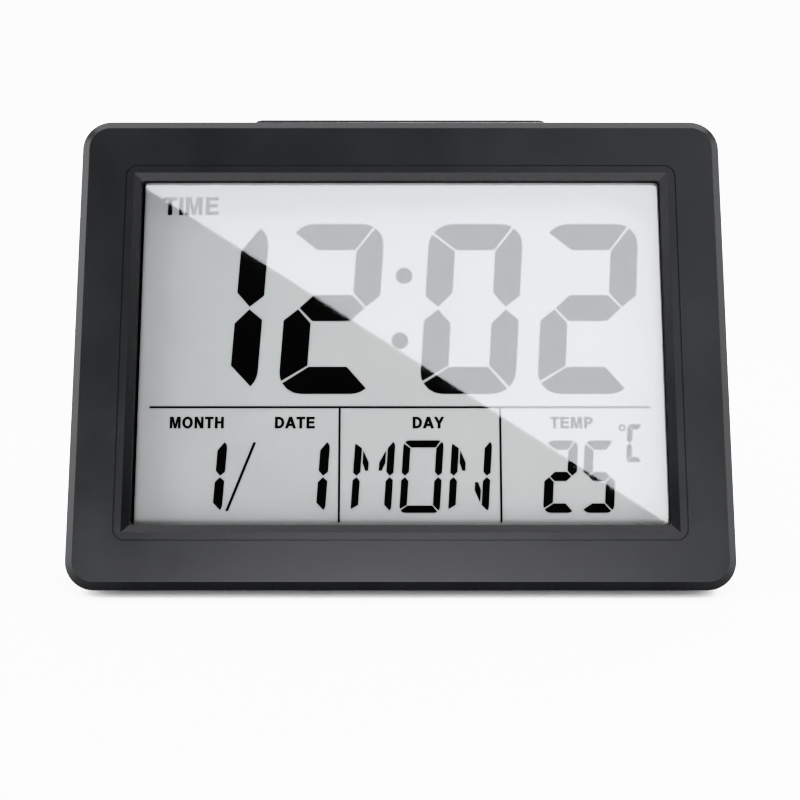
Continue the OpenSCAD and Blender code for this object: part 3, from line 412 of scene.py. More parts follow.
def ribbon_cover():
    """Flat grey cable: its wires show as ribs side by side, with painted shade in the grooves between them.
    """
    finish = finish_named("ribbon_cover")
    x = finish.axes()[0]
    across = (x % RIBBON_PITCH) / RIBBON_PITCH
    rib_and_painted_shade = 4 * across * (1 - across)
    scuffs = finish.noise(1.5 * MM, 3)
    return finish.shell({
        # Painted shade: darker in the grooves between the wires, lighter on their crests; scuffs vary it at
        # random
        "Base Color": finish.blend(rib_and_painted_shade * 0.7 + scuffs * 0.3, grey(0.22), grey(0.40)),
        "Roughness": 0.45 + 0.12 * scuffs,
        "Normal": finish.bump(rib_and_painted_shade, 0.12 * MM),
    })


case_finish = spark_moulding("case_black", 0.022, 0.46, 0.28 * MM, 0.035 * MM)
frame_finish = spark_moulding("frame_black", 0.027, 0.34, 0.12 * MM, 0.006 * MM)
# Slope round the window: smoother than the face, and darker than it as painted shade
slope_gloss_and_shade_finish = spark_moulding("slope_black", 0.014, 0.24, 0.12 * MM, 0.003 * MM)
key_finish = satin_moulding("key_black", 0.022, 0.36)
# Near-black dull lining of the straight wall in the window: painted shade
painted_shade_wall_finish = rubber("painted_shade_black", 0.004)
gloss_finish = window_gloss()
ink_finish = display_ink()
print_finish = pale_print(0.62)
steel_finish = metal("steel_plate", grey(0.60), grey(0.42), 0.24, (1, 1, 6))
rubber_finish = rubber("black_rubber", 0.018)
sleeve_finish = shrunk_sleeve("cell_sleeve_dark", (0.030, 0.034, 0.042, 1), (0.018, 0.020, 0.026, 1))
band_finish = shrunk_sleeve("cell_sleeve_band", (0.46, 0.47, 0.48, 1), (0.36, 0.37, 0.38, 1))

GLASS_TINT = (0.985, 0.99, 0.99, 1)
finish_of = {
    "case_plastic": case_finish,
    "key_plastic": key_finish,
    "lens_plastic": clear_sheet("window_clear", WHITE, 0.002),
    "film": clear_sheet("polarizing_film", GLASS_TINT, 0.003),
    "display_glass": clear_sheet("display_glass", GLASS_TINT, 0.002),
    "display_back": display_grey(),
    "segments": ink_finish,
    "white_plastic": white_moulding(),
    "grey_rubber": rubber("grey_rubber", 0.10),
    "black_rubber": rubber_finish,
    "circuit_board": circuit_board(),
    "black_resin": black_resin(),
    "blue_sleeve": shrunk_sleeve("capacitor_sleeve", (0.02, 0.05, 0.22, 1), (0.012, 0.03, 0.14, 1)),
    "steel": steel_finish,
    "cell_sleeve": sleeve_finish,
    "buzzer_brass": metal("buzzer_brass", (0.72, 0.50, 0.20, 1), (0.42, 0.29, 0.12, 1), 0.26, (1, 1, 1)),
    "red_wire": wire_cover("red_wire", (0.42, 0.02, 0.015, 1), (0.30, 0.012, 0.01, 1)),
    "black_wire": wire_cover("black_wire", grey(0.022), grey(0.012)),
    "grey_wire": ribbon_cover(),
}

for node, part in nodes.items():
    part.material_slots[0].material = finish_of[slot_of[node]]


# Pieces

def merged(node):
    """A copy of a moulding's mesh with its triangles joined and its flat faces whole."""
    bm = bmesh.new()
    bm.from_mesh(nodes[node].data)
    bmesh.ops.remove_doubles(bm, verts=bm.verts, dist=MERGE)
    bmesh.ops.dissolve_limit(bm, angle_limit=FLAT, verts=bm.verts, edges=bm.edges)
    return bm


def is_sharp(edge):
    """Whether two faces meet at an edge at an angle that a moulder would ease."""
    return len(edge.link_faces) == 2 and SHARP < edge.calc_face_angle() < FOLDED


def shade(bm):
    """Smooth shading, broken where faces meet at a crease."""
    for face in bm.faces:
        face.smooth = True
    for edge in bm.edges:
        edge.smooth = len(edge.link_faces) == 2 and edge.calc_face_angle() < CREASE


def add_to(bm_all, bm):
    """Adds one bmesh to another and lets it go."""
    mesh = bpy.data.meshes.new("added")
    bm.to_mesh(mesh)
    bm.free()
    bm_all.from_mesh(mesh)
    bpy.data.meshes.remove(mesh)


def piece(name, bm, finishes, body, replaced=()):
    """Turns a bmesh into a piece that rides on a body and may stand for CAD nodes."""
    mesh = bpy.data.meshes.new(name)
    bm.to_mesh(mesh)
    bm.free()
    if "custom_normal" in mesh.attributes:
        mesh.attributes.remove(mesh.attributes["custom_normal"])
    for finish in finishes:
        mesh.materials.append(finish)
    made = bpy.data.objects.new(name, mesh)
    scene.collection.objects.link(made)
    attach(made, body)
    if replaced:
        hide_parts(*replaced)
    return made


def even_shading(made):
    """Lets the large faces set the shading, so that small rounds don't bend it."""
    weigh = made.modifiers.new("even_shading", "WEIGHTED_NORMAL")
    weigh.keep_sharp = True
    weigh.weight = 100


def softened(node, place, depth, edge_r, rounds, finish):
    """A moulding with the sharp edges of its outer side, down to a depth, rounded off."""
    bm = merged(node)
    inward = place.inverted()
    limit = reach(place, node)[1].z - depth
    outer = {vertex for vertex in bm.verts if (inward @ vertex.co).z > limit}
    edges = [edge for edge in bm.edges if is_sharp(edge) and outer.issuperset(edge.verts)]
    bmesh.ops.bevel(
        bm, geom=edges, offset=edge_r, offset_type="OFFSET", segments=rounds, profile=0.5,
        affect="EDGES", clamp_overlap=True, material=-1)
    shade(bm)
    made = piece(node + "_dressed", bm, [finish], body_of[node], [node])
    even_shading(made)
    return made


# How far a face looks out of the window: a straight wall at most the first, a level face at least the second
WALL_OUT = 0.2
LEVEL_OUT = 0.98


def window_walls(made):
    """Gives the slope round the window a smoother finish whose darker tone is painted shade, and the
    straight wall in it a near-black dull finish that is painted shade.
    """
    finishes = made.data.materials
    finishes.append(painted_shade_wall_finish)
    finishes.append(slope_gloss_and_shade_finish)
    inward = WINDOW.inverted()
    half = reach(WINDOW, "display_lens")[1]
    for face in made.data.polygons:
        centre = inward @ face.center
        out = abs(face.normal.dot(FACE_OUT))
        if abs(centre.x) < half.x and abs(centre.y) < half.y and out < LEVEL_OUT:
            chosen = painted_shade_wall_finish if out < WALL_OUT else slope_gloss_and_shade_finish
            face.material_index = finishes.find(chosen.name)


KEY_NAMES = {
    "set_key": "SET",
    "up_key": "UP",
    "down_key": "DOWN",
    "unit_key": "°C/°F",
    "alarm_key": "ALARM",
}

# Outer side, depth down to which edges are rounded, their radius, steps in the round, finish
KEY_EDGES = (BACK, 0.9 * MM, 0.14 * MM, 3, key_finish)
SOFT_EDGES = {
    "front_frame": (WINDOW, 1.7 * MM, 0.08 * MM, 3, frame_finish),
    "snooze_bar": (BAR, 1.0 * MM, 0.10 * MM, 2, key_finish),
    **{key: KEY_EDGES for key in KEY_NAMES},
    "alarm_slider": (BACK, 1.2 * MM, 0.10 * MM, 2, key_finish),
    "battery_door": (BACK, 0.5 * MM, 0.12 * MM, 2, case_finish),
    "rear_case": (BACK, 0.9 * MM, 0.12 * MM, 2, case_finish),
}
mouldings = {node: softened(node, *edges) for node, edges in SOFT_EDGES.items()}
front = mouldings["front_frame"]
window_walls(front)


WINDOW_EDGE_R = 0.2 * MM
INK_ROOM = 0.05 * MM


def lens_window():
    """The clear window with the film and the front glass on its back: one plate, polished in front."""
    low, high = reach(WINDOW, "display_lens")
    glass = reach(WINDOW, "front_glass")[0]
    low.z = glass.z + INK_ROOM
    bm = bmesh.new()
    bmesh.ops.create_cube(bm, size=1)
    bmesh.ops.scale(bm, vec=high - low, verts=bm.verts)
    bmesh.ops.translate(bm, vec=(low + high) / 2, verts=bm.verts)
    bmesh.ops.bevel(
        bm, geom=bm.edges[:], offset=WINDOW_EDGE_R, offset_type="OFFSET", segments=2, profile=0.5,
        affect="EDGES", clamp_overlap=True, material=-1)
    bmesh.ops.transform(bm, matrix=WINDOW, verts=bm.verts)
    clear_layers = ["display_lens", "front_polarizer", "front_glass"]
    return piece("clear_window", bm, [gloss_finish], "clock", clear_layers)


window = lens_window()


# Size, thickness and place of the dark strips that stand for painted shade at the window's sides
BORDER_W = 1.5 * MM
BORDER_T = 0.04 * MM
BORDER_INSET = 0.5 * MM
BORDER_SHIFT = 0.2 * MM


def window_shade_strips():
    """Dark strips on the back of the clear window, along its two sides: painted shade for the dark line
    between the frame and the display.
    """
    low, high = reach(WINDOW, "display_lens")
    strip = Matrix.Diagonal((BORDER_W, high.y - low.y - 2 * BORDER_INSET, BORDER_T, 1))
    bm = bmesh.new()
    for centre in (low.x + BORDER_W / 2, high.x - BORDER_W / 2):
        place = Matrix.Translation((centre + BORDER_SHIFT, 0, low.z - BORDER_T))
        bmesh.ops.create_cube(bm, size=1, matrix=WINDOW @ place @ strip)
    piece("window_shade_strips", bm, [ink_finish], "clock")


window_shade_strips()


def lathed(profile, steps):
    """A closed round form, spun about its own X axis from (along, radius) points."""
    bm = bmesh.new()
    points = [bm.verts.new((along, radius, 0)) for along, radius in profile]
    edges = [bm.edges.new(pair) for pair in zip(points, points[1:])]
    bmesh.ops.spin(
        bm, geom=points + edges, cent=(0, 0, 0), axis=(1, 0, 0), dvec=(0, 0, 0),
        angle=math.tau, steps=steps, use_merge=True, use_duplicate=False)
    bmesh.ops.remove_doubles(bm, verts=bm.verts, dist=MERGE)
    bmesh.ops.recalc_face_normals(bm, faces=bm.faces)
    return bm


# A cell's outline in millimetres, as points (along, radius): flat end, sleeve, button
CELL_R = 7.22
BAND_START = 39.0
CELL_PROFILE = [
    (0.02, 0), (0.02, 4.2), (0.12, 4.5), (0.45, 4.75), (0.45, 6.15), (0.30, 6.5), (0.22, 6.75), (0.30, 7.0),
    (0.55, 7.18), (0.9, CELL_R), (BAND_START, CELL_R), (48.7, CELL_R), (49.1, 7.1), (49.35, 6.85),
    (49.45, 6.5), (49.3, 6.2), (49.2, 5.9), (49.2, 3.1), (49.3, 2.8), (49.5, 2.7), (50.2, 2.7),
    (50.4, 2.6), (50.48, 2.35), (50.48, 0)]
CELL_STEPS = 64
SLEEVE_START = 0.5
SLEEVE_END = 49.15
SLEEVE_INNER_R = 6.9
CELL_FINISHES = [steel_finish, sleeve_finish, band_finish]


def cell(bm_all, place):
    """One cell: steel ends, dark sleeve and a pale band at the button end."""
    bm = lathed([(along * MM, radius * MM) for along, radius in CELL_PROFILE], CELL_STEPS)
    for face in bm.faces:
        centre = face.calc_center_median() / MM
        chosen = steel_finish
        if math.hypot(centre.y, centre.z) > SLEEVE_INNER_R and SLEEVE_START < centre.x < SLEEVE_END:
            chosen = band_finish if centre.x > BAND_START else sleeve_finish
        face.material_index = CELL_FINISHES.index(chosen)
    bmesh.ops.transform(bm, matrix=place, verts=bm.verts)
    shade(bm)
    add_to(bm_all, bm)


def cell_places():
    """Places at the flat ends of both cells, each with X along the cell towards its button."""
    low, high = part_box("battery_cells")
    half = (high.y - low.y) / 2
    length = CELL_PROFILE[-1][0] * MM
    lower = Vector((high.x - length, middle("battery_cells").y, low.z + half))
    upper = Vector((low.x + length, middle("battery_cells").y, high.z - half))
    return [
        place_at(lower, RIGHT, BEHIND, UP),
        place_at(upper, -RIGHT, BEHIND, -UP),
    ]


def cells():
    """Both cells, one above the other and head to tail."""
    bm = bmesh.new()
    for place in cell_places():
        cell(bm, place)
    piece("round_cells", bm, CELL_FINISHES, "clock", ["battery_cells"])


cells()


SPRING_TURNS = 4
SPRING_STEPS = 28
PLATE_END_R = 4.0 * MM
CELL_END_R = 2.6 * MM
WIRE_R = 0.3 * MM
WIRE_SIDES = 12
WIRE_SEAT = 1.1 * WIRE_R


def spring(bm_all, place, length):
    """A wire coil that narrows towards the cell, with its two ends closed."""
    steps = SPRING_TURNS * SPRING_STEPS
    bm = bmesh.new()
    stand = Matrix.Translation((0, PLATE_END_R, 0)) @ Matrix.Rotation(QUARTER, 4, "Y")
    stand = stand @ Matrix.Rotation(QUARTER, 4, "X")
    bmesh.ops.create_circle(bm, cap_ends=True, radius=WIRE_R, segments=WIRE_SIDES, matrix=stand)
    bmesh.ops.spin(
        bm, geom=bm.verts[:] + bm.edges[:] + bm.faces[:], cent=(0, 0, 0), axis=(1, 0, 0),
        dvec=(length / steps, 0, 0), angle=SPRING_TURNS * math.tau, steps=steps,
        use_merge=False, use_duplicate=False)
    bmesh.ops.remove_doubles(bm, verts=bm.verts, dist=MERGE)
    bmesh.ops.recalc_face_normals(bm, faces=bm.faces)
    for vertex in bm.verts:
        share = min(max(vertex.co.x / length, 0), 1)
        outward = Vector((0, vertex.co.y, vertex.co.z)).normalized()
        vertex.co -= outward * share * (PLATE_END_R - CELL_END_R)
    bmesh.ops.transform(bm, matrix=place, verts=bm.verts)
    shade(bm)
    add_to(bm_all, bm)


def springs():
    """Both springs, each from its contact plate to the flat end of its cell."""
    low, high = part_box("contact_springs")
    lower, upper = cell_places()
    bm = bmesh.new()
    for place, start_x in ((lower, low.x), (upper, high.x)):
        origin = place.to_translation()
        length = abs(origin.x - start_x) - 2 * WIRE_SEAT
        seat = place.copy()
        seat.translation = Vector((start_x, origin.y, origin.z)) + place.col[0].to_3d() * WIRE_SEAT
        spring(bm, seat, length)
    piece("wire_springs", bm, [steel_finish], "clock", ["contact_springs"])


springs()


# A foot's sole and rim in millimetres, as points (up, radius)
FOOT_R = 4.0
SOLE_PROFILE = [
    (0.25, 0), (0.25, 1.3), (0.05, 1.6), (0, 1.8), (0, 3.3), (0.08, 3.6), (0.3, 3.88), (0.6, FOOT_R)]
FOOT_STEPS = 48


def feet():
    """Four rubber feet with an eased rim and a shallow hollow in the sole."""
    low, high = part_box("feet")
    height = high.z - low.z
    foot_r = FOOT_R * MM
    sole = [(up * MM, radius * MM) for up, radius in SOLE_PROFILE]
    bm = bmesh.new()
    for x in (low.x + foot_r, high.x - foot_r):
        for y in (low.y + foot_r, high.y - foot_r):
            foot = lathed(sole + [(height, foot_r), (height, 0)], FOOT_STEPS)
            place = place_at(Vector((x, y, 0)), UP, RIGHT, BEHIND)
            bmesh.ops.transform(foot, matrix=place, verts=foot.verts)
            shade(foot)
            add_to(bm, foot)
    piece("rubber_feet", bm, [rubber_finish], "clock", ["feet"])


feet()


def rounded_leads(node, finish):
    """Round leads from the CAD's many-sided ones."""
    bm = merged(node)
    for face in bm.faces:
        face.smooth = True
    made = piece(node + "_round", bm, [finish], body_of[node], [node])
    smooth = made.modifiers.new("round", "SUBSURF")
    smooth.levels = 1
    smooth.render_levels = 1


for lead in ("positive_lead", "negative_lead", "buzzer_leads"):
    rounded_leads(lead, finish_of[slot_of[lead]])


# Words

INK_LAYER = 0.004 * MM
PRINT_SUNK = 0.01 * MM
PRINT_PROUD = 0.02 * MM
FIRM = 0.02


def letters(bm_all, text, place, centre, foot, head, surface):
    """Adds flat letters about a centre, between foot and head, printed on a surface.

    Copies shifted by up to FIRM, a share of their height, make them heavier.
    """
    curve = bpy.data.curves.new("letters", "FONT")
    curve.body = text
    curve.extrude = 0.5
    holder = bpy.data.objects.new("letters", curve)
    scene.collection.objects.link(holder)
    mesh = bpy.data.meshes.new_from_object(holder.evaluated_get(bpy.context.evaluated_depsgraph_get()))
    bpy.data.objects.remove(holder)
    bpy.data.curves.remove(curve)
    first = Vector([min(vertex.co[axis] for vertex in mesh.vertices) for axis in range(3)])
    last = Vector([max(vertex.co[axis] for vertex in mesh.vertices) for axis in range(3)])
    extent = last - first
    size = (head - foot) / extent.y
    shift = FIRM * (head - foot)
    stretch = Matrix.Diagonal((size, (1 - FIRM) * size, (PRINT_SUNK + PRINT_PROUD) / extent.z, 1))
    left = centre - size * extent.x / 2
    seat = Matrix.Translation((left, foot + shift / 2, surface - PRINT_SUNK))
    mesh.transform(seat @ stretch @ Matrix.Translation(-first))
    shifts = [(across, up) for across in (-shift, 0, shift) for up in (-shift / 2, shift / 2)]
    for layer, (across, up) in enumerate(shifts):
        copy = mesh.copy()
        copy.transform(place @ Matrix.Translation((across, up, layer * INK_LAYER)))
        bm_all.from_mesh(copy)
        bpy.data.meshes.remove(copy)
    bpy.data.meshes.remove(mesh)


# Block letters of the display: stroke widths, and places that letters share, for a height of 1

STEM = 0.25
RUNG = 0.20
SLIM = 0.23
SLANT = 0.20
BROAD = 0.27
NEAR = 0.10
FAR = 0.91
HALFWAY = 0.42
BOWL_STEPS = 32


def upright(bm, x, foot=0, head=1, lean=0, thick=STEM):
    """An upright or leaning stroke with level ends, from its left edge x at the foot."""
    ends = [(x, foot), (x + thick, foot), (x + thick + lean, head), (x + lean, head)]
    bm.faces.new([bm.verts.new((across, up, 0)) for across, up in ends])


def level(bm, left, right, foot):
    """A level stroke."""
    ends = [(left, foot), (right, foot), (right, foot + RUNG), (left, foot + RUNG)]
    bm.faces.new([bm.verts.new((across, up, 0)) for across, up in ends])


def bowl(bm, x, foot, head, wide, cut):
    """A round stroke about x, or its right half where it is cut."""
    painted_reflection_ring = bmesh.new()
    high = (head - foot) / 2
    edges = []
    for half_w, half_h in ((wide, high), (wide - STEM, high - RUNG)):
        circle = bmesh.ops.create_circle(painted_reflection_ring, cap_ends=False, radius=1, segments=BOWL_STEPS)
        bmesh.ops.scale(painted_reflection_ring, vec=(half_w, half_h, 1), verts=circle["verts"])
        edges += list({edge for vertex in circle["verts"] for edge in vertex.link_edges})
    bmesh.ops.bridge_loops(painted_reflection_ring, edges=edges)
    if cut:
        geom = painted_reflection_ring.verts[:] + painted_reflection_ring.edges[:] + painted_reflection_ring.faces[:]
        bmesh.ops.bisect_plane(painted_reflection_ring, geom=geom, plane_co=(0, 0, 0), plane_no=RIGHT, clear_inner=True)
    bmesh.ops.translate(painted_reflection_ring, vec=(x, foot + high, 0), verts=painted_reflection_ring.verts)
    add_to(bm, painted_reflection_ring)


def letter_t(bm):
    left, right = 0.03, 0.82
    level(bm, left, right, 1 - RUNG)
    upright(bm, (left + right - STEM) / 2)


def letter_i(bm):
    upright(bm, NEAR)


def letter_m(bm):
    left, right = 0.09, 1.07
    dip_left, dip_right = 0.47, 0.69
    lean = 0.25
    upright(bm, left, thick=SLIM)
    upright(bm, right - SLIM, thick=SLIM)
    upright(bm, dip_left, lean=-lean, thick=SLANT)
    upright(bm, dip_right - SLANT, lean=lean, thick=SLANT)


def letter_e(bm):
    upright(bm, NEAR)
    for right, foot in ((0.86, 0), (0.805, HALFWAY), (0.845, 1 - RUNG)):
        level(bm, NEAR, right, foot)


def letter_o(bm):
    centre, half_w = 0.543, 0.483
    overshoot = 0.015
    bowl(bm, centre, -overshoot, 1 + overshoot, half_w, False)


def letter_n(bm):
    upright(bm, NEAR, thick=SLIM)
    upright(bm, FAR - SLIM, thick=SLIM)
    upright(bm, FAR - BROAD, lean=BROAD - (FAR - NEAR), thick=BROAD)


def letter_h(bm):
    upright(bm, NEAR)
    upright(bm, FAR - STEM)
    level(bm, NEAR, FAR, HALFWAY)


def letter_d(bm):
    bend, half_w = 0.45, 0.49
    upright(bm, NEAR)
    for foot in (0, 1 - RUNG):
        level(bm, NEAR, bend, foot)
    bowl(bm, bend, 0, 1, half_w, True)


def letter_a(bm):
    right, lean = 1.01, 0.37
    rung_left, rung_right, rung_foot = 0.20, 0.80, 0.20
    upright(bm, 0, lean=lean, thick=BROAD)
    upright(bm, right - BROAD, lean=-lean, thick=BROAD)
    level(bm, rung_left, rung_right, rung_foot)


def letter_y(bm):
    fork_left, fork_right, fork_foot = 0.34, 0.59, 0.40
    lean = 0.34
    lap = 0.03
    upright(bm, (fork_left + fork_right - STEM) / 2, head=fork_foot + lap)
    upright(bm, fork_left, foot=fork_foot, lean=-lean, thick=BROAD)
    upright(bm, fork_right - BROAD, foot=fork_foot, lean=lean, thick=BROAD)


def letter_p(bm):
    bend, half_w, waist = 0.50, 0.365, 0.36
    upright(bm, NEAR)
    for foot in (waist, 1 - RUNG):
        level(bm, NEAR, bend, foot)
    bowl(bm, bend, waist, 1, half_w, True)


# Each letter's function and the way to the next letter
LETTERS = {
    "T": (letter_t, 0.85), "I": (letter_i, 0.39), "M": (letter_m, 1.16), "E": (letter_e, 0.93),
    "O": (letter_o, 1.09), "N": (letter_n, 1.01), "H": (letter_h, 1.01), "D": (letter_d, 1.01),
    "A": (letter_a, 1.01), "Y": (letter_y, 0.93), "P": (letter_p, 0.93)}


def block_word(bm_all, text, place, box, low, high):
    """Adds a word of block letters that fills a box (left, foot, right, head)."""
    bm = bmesh.new()
    along = 0
    for sign in text:
        draw, advance = LETTERS[sign]
        drawn = bmesh.new()
        draw(drawn)
        bmesh.ops.translate(drawn, vec=(along, 0, 0), verts=drawn.verts)
        add_to(bm, drawn)
        along += advance
    first = min(vertex.co.x for vertex in bm.verts)
    last = max(vertex.co.x for vertex in bm.verts)
    left, foot, right, head = box
    bmesh.ops.recalc_face_normals(bm, faces=bm.faces)
    made = bmesh.ops.extrude_face_region(bm, geom=bm.faces[:])
    raised = [part for part in made["geom"] if isinstance(part, bmesh.types.BMVert)]
    bmesh.ops.translate(bm, vec=(0, 0, 1), verts=raised)
    bmesh.ops.recalc_face_normals(bm, faces=bm.faces)
    stretch = Matrix.Diagonal(((right - left) / (last - first), head - foot, high - low, 1))
    seat = Matrix.Translation((left, foot, low)) @ stretch @ Matrix.Translation((-first, 0, 0))
    bmesh.ops.transform(bm, matrix=place @ seat, verts=bm.verts)
    add_to(bm_all, bm)


# Foot and head of each row of words, and left and right edge of each word, from the window's middle
TIME_ROW = (29.82 * MM, 33.80 * MM)
FIELD_ROW = (-16.02 * MM, -13.62 * MM)
FIELD_WORDS = {
    "TIME": (TIME_ROW, -50.87 * MM, -39.00 * MM),
    "MONTH": (FIELD_ROW, -48.05 * MM, -36.82 * MM),
    "DATE": (FIELD_ROW, -26.15 * MM, -17.86 * MM),
    "DAY": (FIELD_ROW, 2.53 * MM, 9.10 * MM),
    "TEMP": (FIELD_ROW, 31.14 * MM, 40.05 * MM),
}
WORD_LOW = 0.02 * MM
WORD_HIGH = 0.06 * MM


def display_words():
    """Field names printed on the display, in the plane of its segments."""
    glass = reach(WINDOW, "rear_glass")[1].z
    bm = bmesh.new()
    for text, ((foot, head), left, right) in FIELD_WORDS.items():
        block_word(bm, text, WINDOW, (left, foot, right, head), glass + WORD_LOW, glass + WORD_HIGH)
    piece("display_words", bm, [ink_finish], "clock")


display_words()


STRIP_FLOOR = -0.8 * MM
WORD_H = 1.7 * MM
WORD_RISE = 3.9 * MM
BESIDE_RISE = -0.8 * MM

# Shift of each word along the slider, and its foot above the slider's middle
SLIDER_WORDS = {
    "ON": (-7.7 * MM, BESIDE_RISE),
    "OFF": (4.9 * MM, BESIDE_RISE),
    "ALARM": (-1.5 * MM, WORD_RISE),
}


def strip_word(bm, text, node, shift, rise):
    """A word printed in the control strip, shifted along it and up from a node's middle."""
    low, high = reach(BACK, node)
    foot = middle(node).z + rise
    letters(bm, text, BACK, (low.x + high.x) / 2 + shift, foot, foot + WORD_H, STRIP_FLOOR)


def panel_words():
    """Names of the keys and of the slider's two ends, printed in the control strip."""
    bm = bmesh.new()
    for key, text in KEY_NAMES.items():
        strip_word(bm, text, key, 0, WORD_RISE)
    for text, (shift, rise) in SLIDER_WORDS.items():
        strip_word(bm, text, "alarm_slider", shift, rise)
    bmesh.ops.remove_doubles(bm, verts=bm.verts, dist=MERGE)
    piece("panel_words", bm, [print_finish], "clock")


panel_words()


BAR_WORD_FOOT = -1.3 * MM
BAR_WORD_HEAD = 1.1 * MM


def bar_words():
    """The snooze bar's own name, printed on its top."""
    top = reach(BAR, "snooze_bar")[1].z
    bm = bmesh.new()
    letters(bm, "SNOOZE / LIGHT", BAR, 0, BAR_WORD_FOOT, BAR_WORD_HEAD, top)
    bmesh.ops.remove_doubles(bm, verts=bm.verts, dist=MERGE)
    piece("bar_words", bm, [print_finish], "snooze")


bar_words()


# Camera, as the photo was taken

CAMERA_AWAY = 252 * MM
CAMERA_RISE = math.radians(5.5)
CAMERA_LENS = 55.1
CAMERA_SENSOR = 36
CAMERA_NEAR = 10 * MM
CAMERA_SHIFT = -0.065
CAMERA_ASIDE = -0.12 * MM
face_high = reach(WINDOW, "front_frame")[1].z
face_centre = WINDOW @ Vector((0, 0, face_high))
camera_data = bpy.data.cameras.new("camera")
camera_data.lens = CAMERA_LENS
camera_data.sensor_width = CAMERA_SENSOR
camera_data.shift_y = CAMERA_SHIFT
camera_data.clip_start = CAMERA_NEAR
camera = bpy.data.objects.new("camera", camera_data)
camera.location = face_centre + CAMERA_AWAY * Vector((0, -math.cos(CAMERA_RISE), math.sin(CAMERA_RISE)))
camera.location.x += CAMERA_ASIDE
camera.rotation_euler = (QUARTER - CAMERA_RISE, 0, 0)
scene.collection.objects.link(camera)
scene.camera = camera


# Floor, world and lights

# The floor's radius, and distances from its middle between which it changes, in metres: its fade, and the
# painted shadow and painted bright ring that the clock sees in it
FLOOR_R = 1.2
FADE = (0.35, 1.1)
RING_RISE = (0.06, 0.13)
RING_FALL = (0.16, 0.26)

# Painted reflection: share of the bright ring lost further out, and the dark and bright tones of the
# mirrored floor
RING_LOSS = 0.6
PLAIN_TONES = (grey(0.86), grey(0.89))
PAINTED_MIRRORED_TONES = (grey(0.03), grey(0.95))
SCATTERED_TONE = grey(0.25)
FLOOR_STEPS = 96


def floor_tone(finish, distance, mottle):
    """Pale to the camera. In reflections it shows a painted shadow, dark close to the clock, and a painted
    bright ring further out; the clock gets little scattered light from it.
    """
    mirrored = finish.node("ShaderNodeLightPath", output="Is Glossy Ray")
    scattered = mirrored.other("Is Diffuse Ray")
    painted_reflection_ring = finish.spread(distance, *RING_RISE) * (1 - RING_LOSS * finish.spread(distance, *RING_FALL))
    plain = finish.blend(mottle, *PLAIN_TONES)
    painted_reflection_tone = finish.blend(painted_reflection_ring, *PAINTED_MIRRORED_TONES)
    return finish.blend(scattered, finish.blend(mirrored, plain, painted_reflection_tone), SCATTERED_TONE)


def floor():
    """A pale round floor that fades into the white round it."""
    finish = finish_named("pale_floor")
    measure = {"operation": "LENGTH"}
    distance = finish.node("ShaderNodeVectorMath", measure, {0: finish.place()}, output="Value")
    fade = finish.spread(distance, *FADE)
    mottle = finish.noise(30 * MM, 3)
    pale = finish.node("ShaderNodeBsdfPrincipled", sockets={
        "Base Color": floor_tone(finish, distance, mottle),
        "Roughness": 0.75 + 0.1 * mottle,
        "Specular IOR Level": 0.2})
    clear = finish.node("ShaderNodeBsdfTransparent")
    material = finish.ends_in(finish.mixed(fade, pale, clear))
    bm = bmesh.new()
    bmesh.ops.create_circle(bm, cap_ends=True, radius=FLOOR_R, segments=FLOOR_STEPS)
    mesh = bpy.data.meshes.new("floor")
    bm.to_mesh(mesh)
    bm.free()
    mesh.materials.append(material)
    made = bpy.data.objects.new("floor", mesh)
    scene.collection.objects.link(made)
    return made


ground = floor()


ROUND_LIGHT = 0.09
BACKDROP = 2.5


def studio_world():
    """Dim light from all round, and plain white where the camera sees past the floor."""
    world = bpy.data.worlds.new("studio")
    scene.world = world
    finish = Finish(world)
    seen = finish.node("ShaderNodeLightPath", output="Is Camera Ray")
    light = finish.node("ShaderNodeBackground", sockets={"Color": WHITE, "Strength": ROUND_LIGHT})
    backdrop = finish.node("ShaderNodeBackground", sockets={"Color": WHITE, "Strength": BACKDROP})
    finish.ends_in(finish.mixed(seen, light, backdrop), "ShaderNodeOutputWorld")


studio_world()


def card(name, centre, turn, width, height, brightness):
    """A soft rectangular light that shines along its own -Z."""
    lamp = bpy.data.lights.new(name, "AREA")
    lamp.shape = "RECTANGLE"
    lamp.size = width
    lamp.size_y = height
    lamp.energy = brightness * math.pi * width * height
    made = bpy.data.objects.new(name, lamp)
    made.matrix_world = Matrix.Translation(centre) @ turn.to_4x4()
    made.visible_camera = False
    scene.collection.objects.link(made)
    return made


CLOCK_MIDDLE = Vector((0, 0, 50 * MM))


def aimed_card(name, centre, width, height, brightness):
    """A card that faces the middle of the clock."""
    centre = Vector(centre)
    aim = CLOCK_MIDDLE - centre
    return card(name, centre, aim.to_track_quat("-Z", "Y").to_matrix(), width, height, brightness)


# Two points of the glare's edge, from the window's middle, and the light that makes it, in metres
GLARE_START = (-54.5 * MM, 35.15 * MM)
GLARE_END = (54.0 * MM, -35.55 * MM)
GLARE_AWAY = 2.3
GLARE_LONGER = 1.5
GLARE_H = 0.32
GLARE_BRIGHTNESS = 9.2
GLARE_COLOUR = (0.95, 0.97, 1.0)


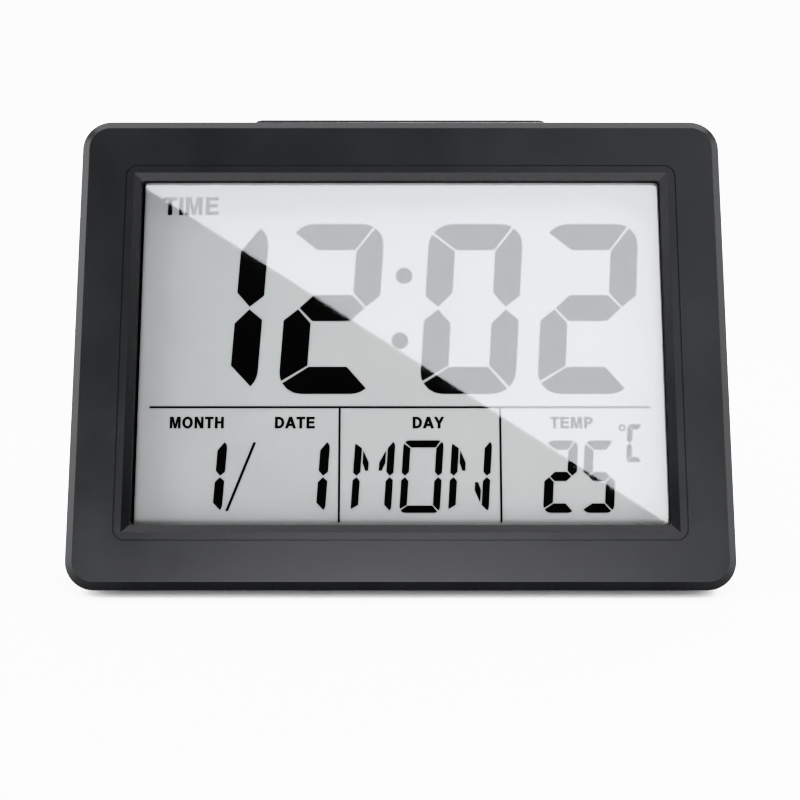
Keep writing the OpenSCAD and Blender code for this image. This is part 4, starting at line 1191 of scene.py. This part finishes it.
def glare_card():
    """The light whose mirror image crosses the window from its top left to its bottom right corner."""
    surface = reach(WINDOW, "display_lens")[1].z
    eye = WINDOW.inverted() @ camera.location
    eye.z = 2 * surface - eye.z
    eye = WINDOW @ eye
    first = WINDOW @ Vector((*GLARE_START, surface))
    last = WINDOW @ Vector((*GLARE_END, surface))
    first = first + GLARE_AWAY * (first - eye)
    last = last + GLARE_AWAY * (last - eye)
    out = ((first + last) / 2 - eye).normalized()
    along = (last - first).normalized()
    out = (out - out.dot(along) * along).normalized()
    side = out.cross(along)
    width = GLARE_LONGER * (last - first).length
    centre = (first + last) / 2 + side * GLARE_H / 2
    turn = Matrix((along, side, out)).transposed()
    made = card("glare_card", centre, turn, width, GLARE_H, GLARE_BRIGHTNESS)
    made.data.color = GLARE_COLOUR
    return made


def keep_light(lamp, made, state):
    """Keeps a light to one object, or off it, as the state INCLUDE or EXCLUDE says."""
    linked = bpy.data.collections.new(lamp.name)
    linked.objects.link(made)
    linked.collection_objects[0].light_linking.link_state = state
    lamp.light_linking.receiver_collection = linked


# Centre, width and height of each card in metres, and its brightness
CARDS = {
    "floor_card": ((0, -0.9, 0.55), 1.4, 0.8, 14.0),
    "frame_card": ((0.44, -0.85, 0.66), 0.6, 0.5, 1.8),
    "top_card": ((0, 0.06, 0.85), 1.4, 1.0, 2.9),
    "left_card": ((-0.80, -0.18, 0.30), 0.7, 0.6, 4.6),
    "right_card": ((0.80, -0.18, 0.30), 0.7, 0.6, 3.2),
    "front_card": ((0, -1.0, 0.07), 0.45, 0.20, 23.0),
    "back_card": ((0.35, 0.95, 0.55), 0.9, 0.7, 8.5),
    "back_low_card": ((-0.45, 1.0, 0.16), 1.0, 0.3, 8.0),
}
glare = glare_card()
cards = {name: aimed_card(name, *sizes) for name, sizes in CARDS.items()}
keep_light(glare, window, "INCLUDE")
keep_light(cards["floor_card"], ground, "INCLUDE")
keep_light(cards["frame_card"], front, "INCLUDE")
for name in ("left_card", "right_card", "front_card"):
    keep_light(cards[name], window, "EXCLUDE")


TONE_CURVE = [(0, 0), (0.6, 0.6), (1.1, 0.845), (2.5, 2.5)]
ALL_COLOURS = 3


def tone_curve():
    """Holds the bright greys back a little and leaves the darks and the white as they are."""
    view = scene.view_settings
    view.view_transform = "Khronos PBR Neutral"
    view.use_curve_mapping = True
    mapping = view.curve_mapping
    mapping.use_clip = False
    points = mapping.curves[ALL_COLOURS].points
    for point, place in zip(points, (TONE_CURVE[0], TONE_CURVE[-1])):
        point.location = place
    for place in TONE_CURVE[1:-1]:
        points.new(*place)
    for point in points:
        point.handle_type = "VECTOR"
    mapping.update()


tone_curve()
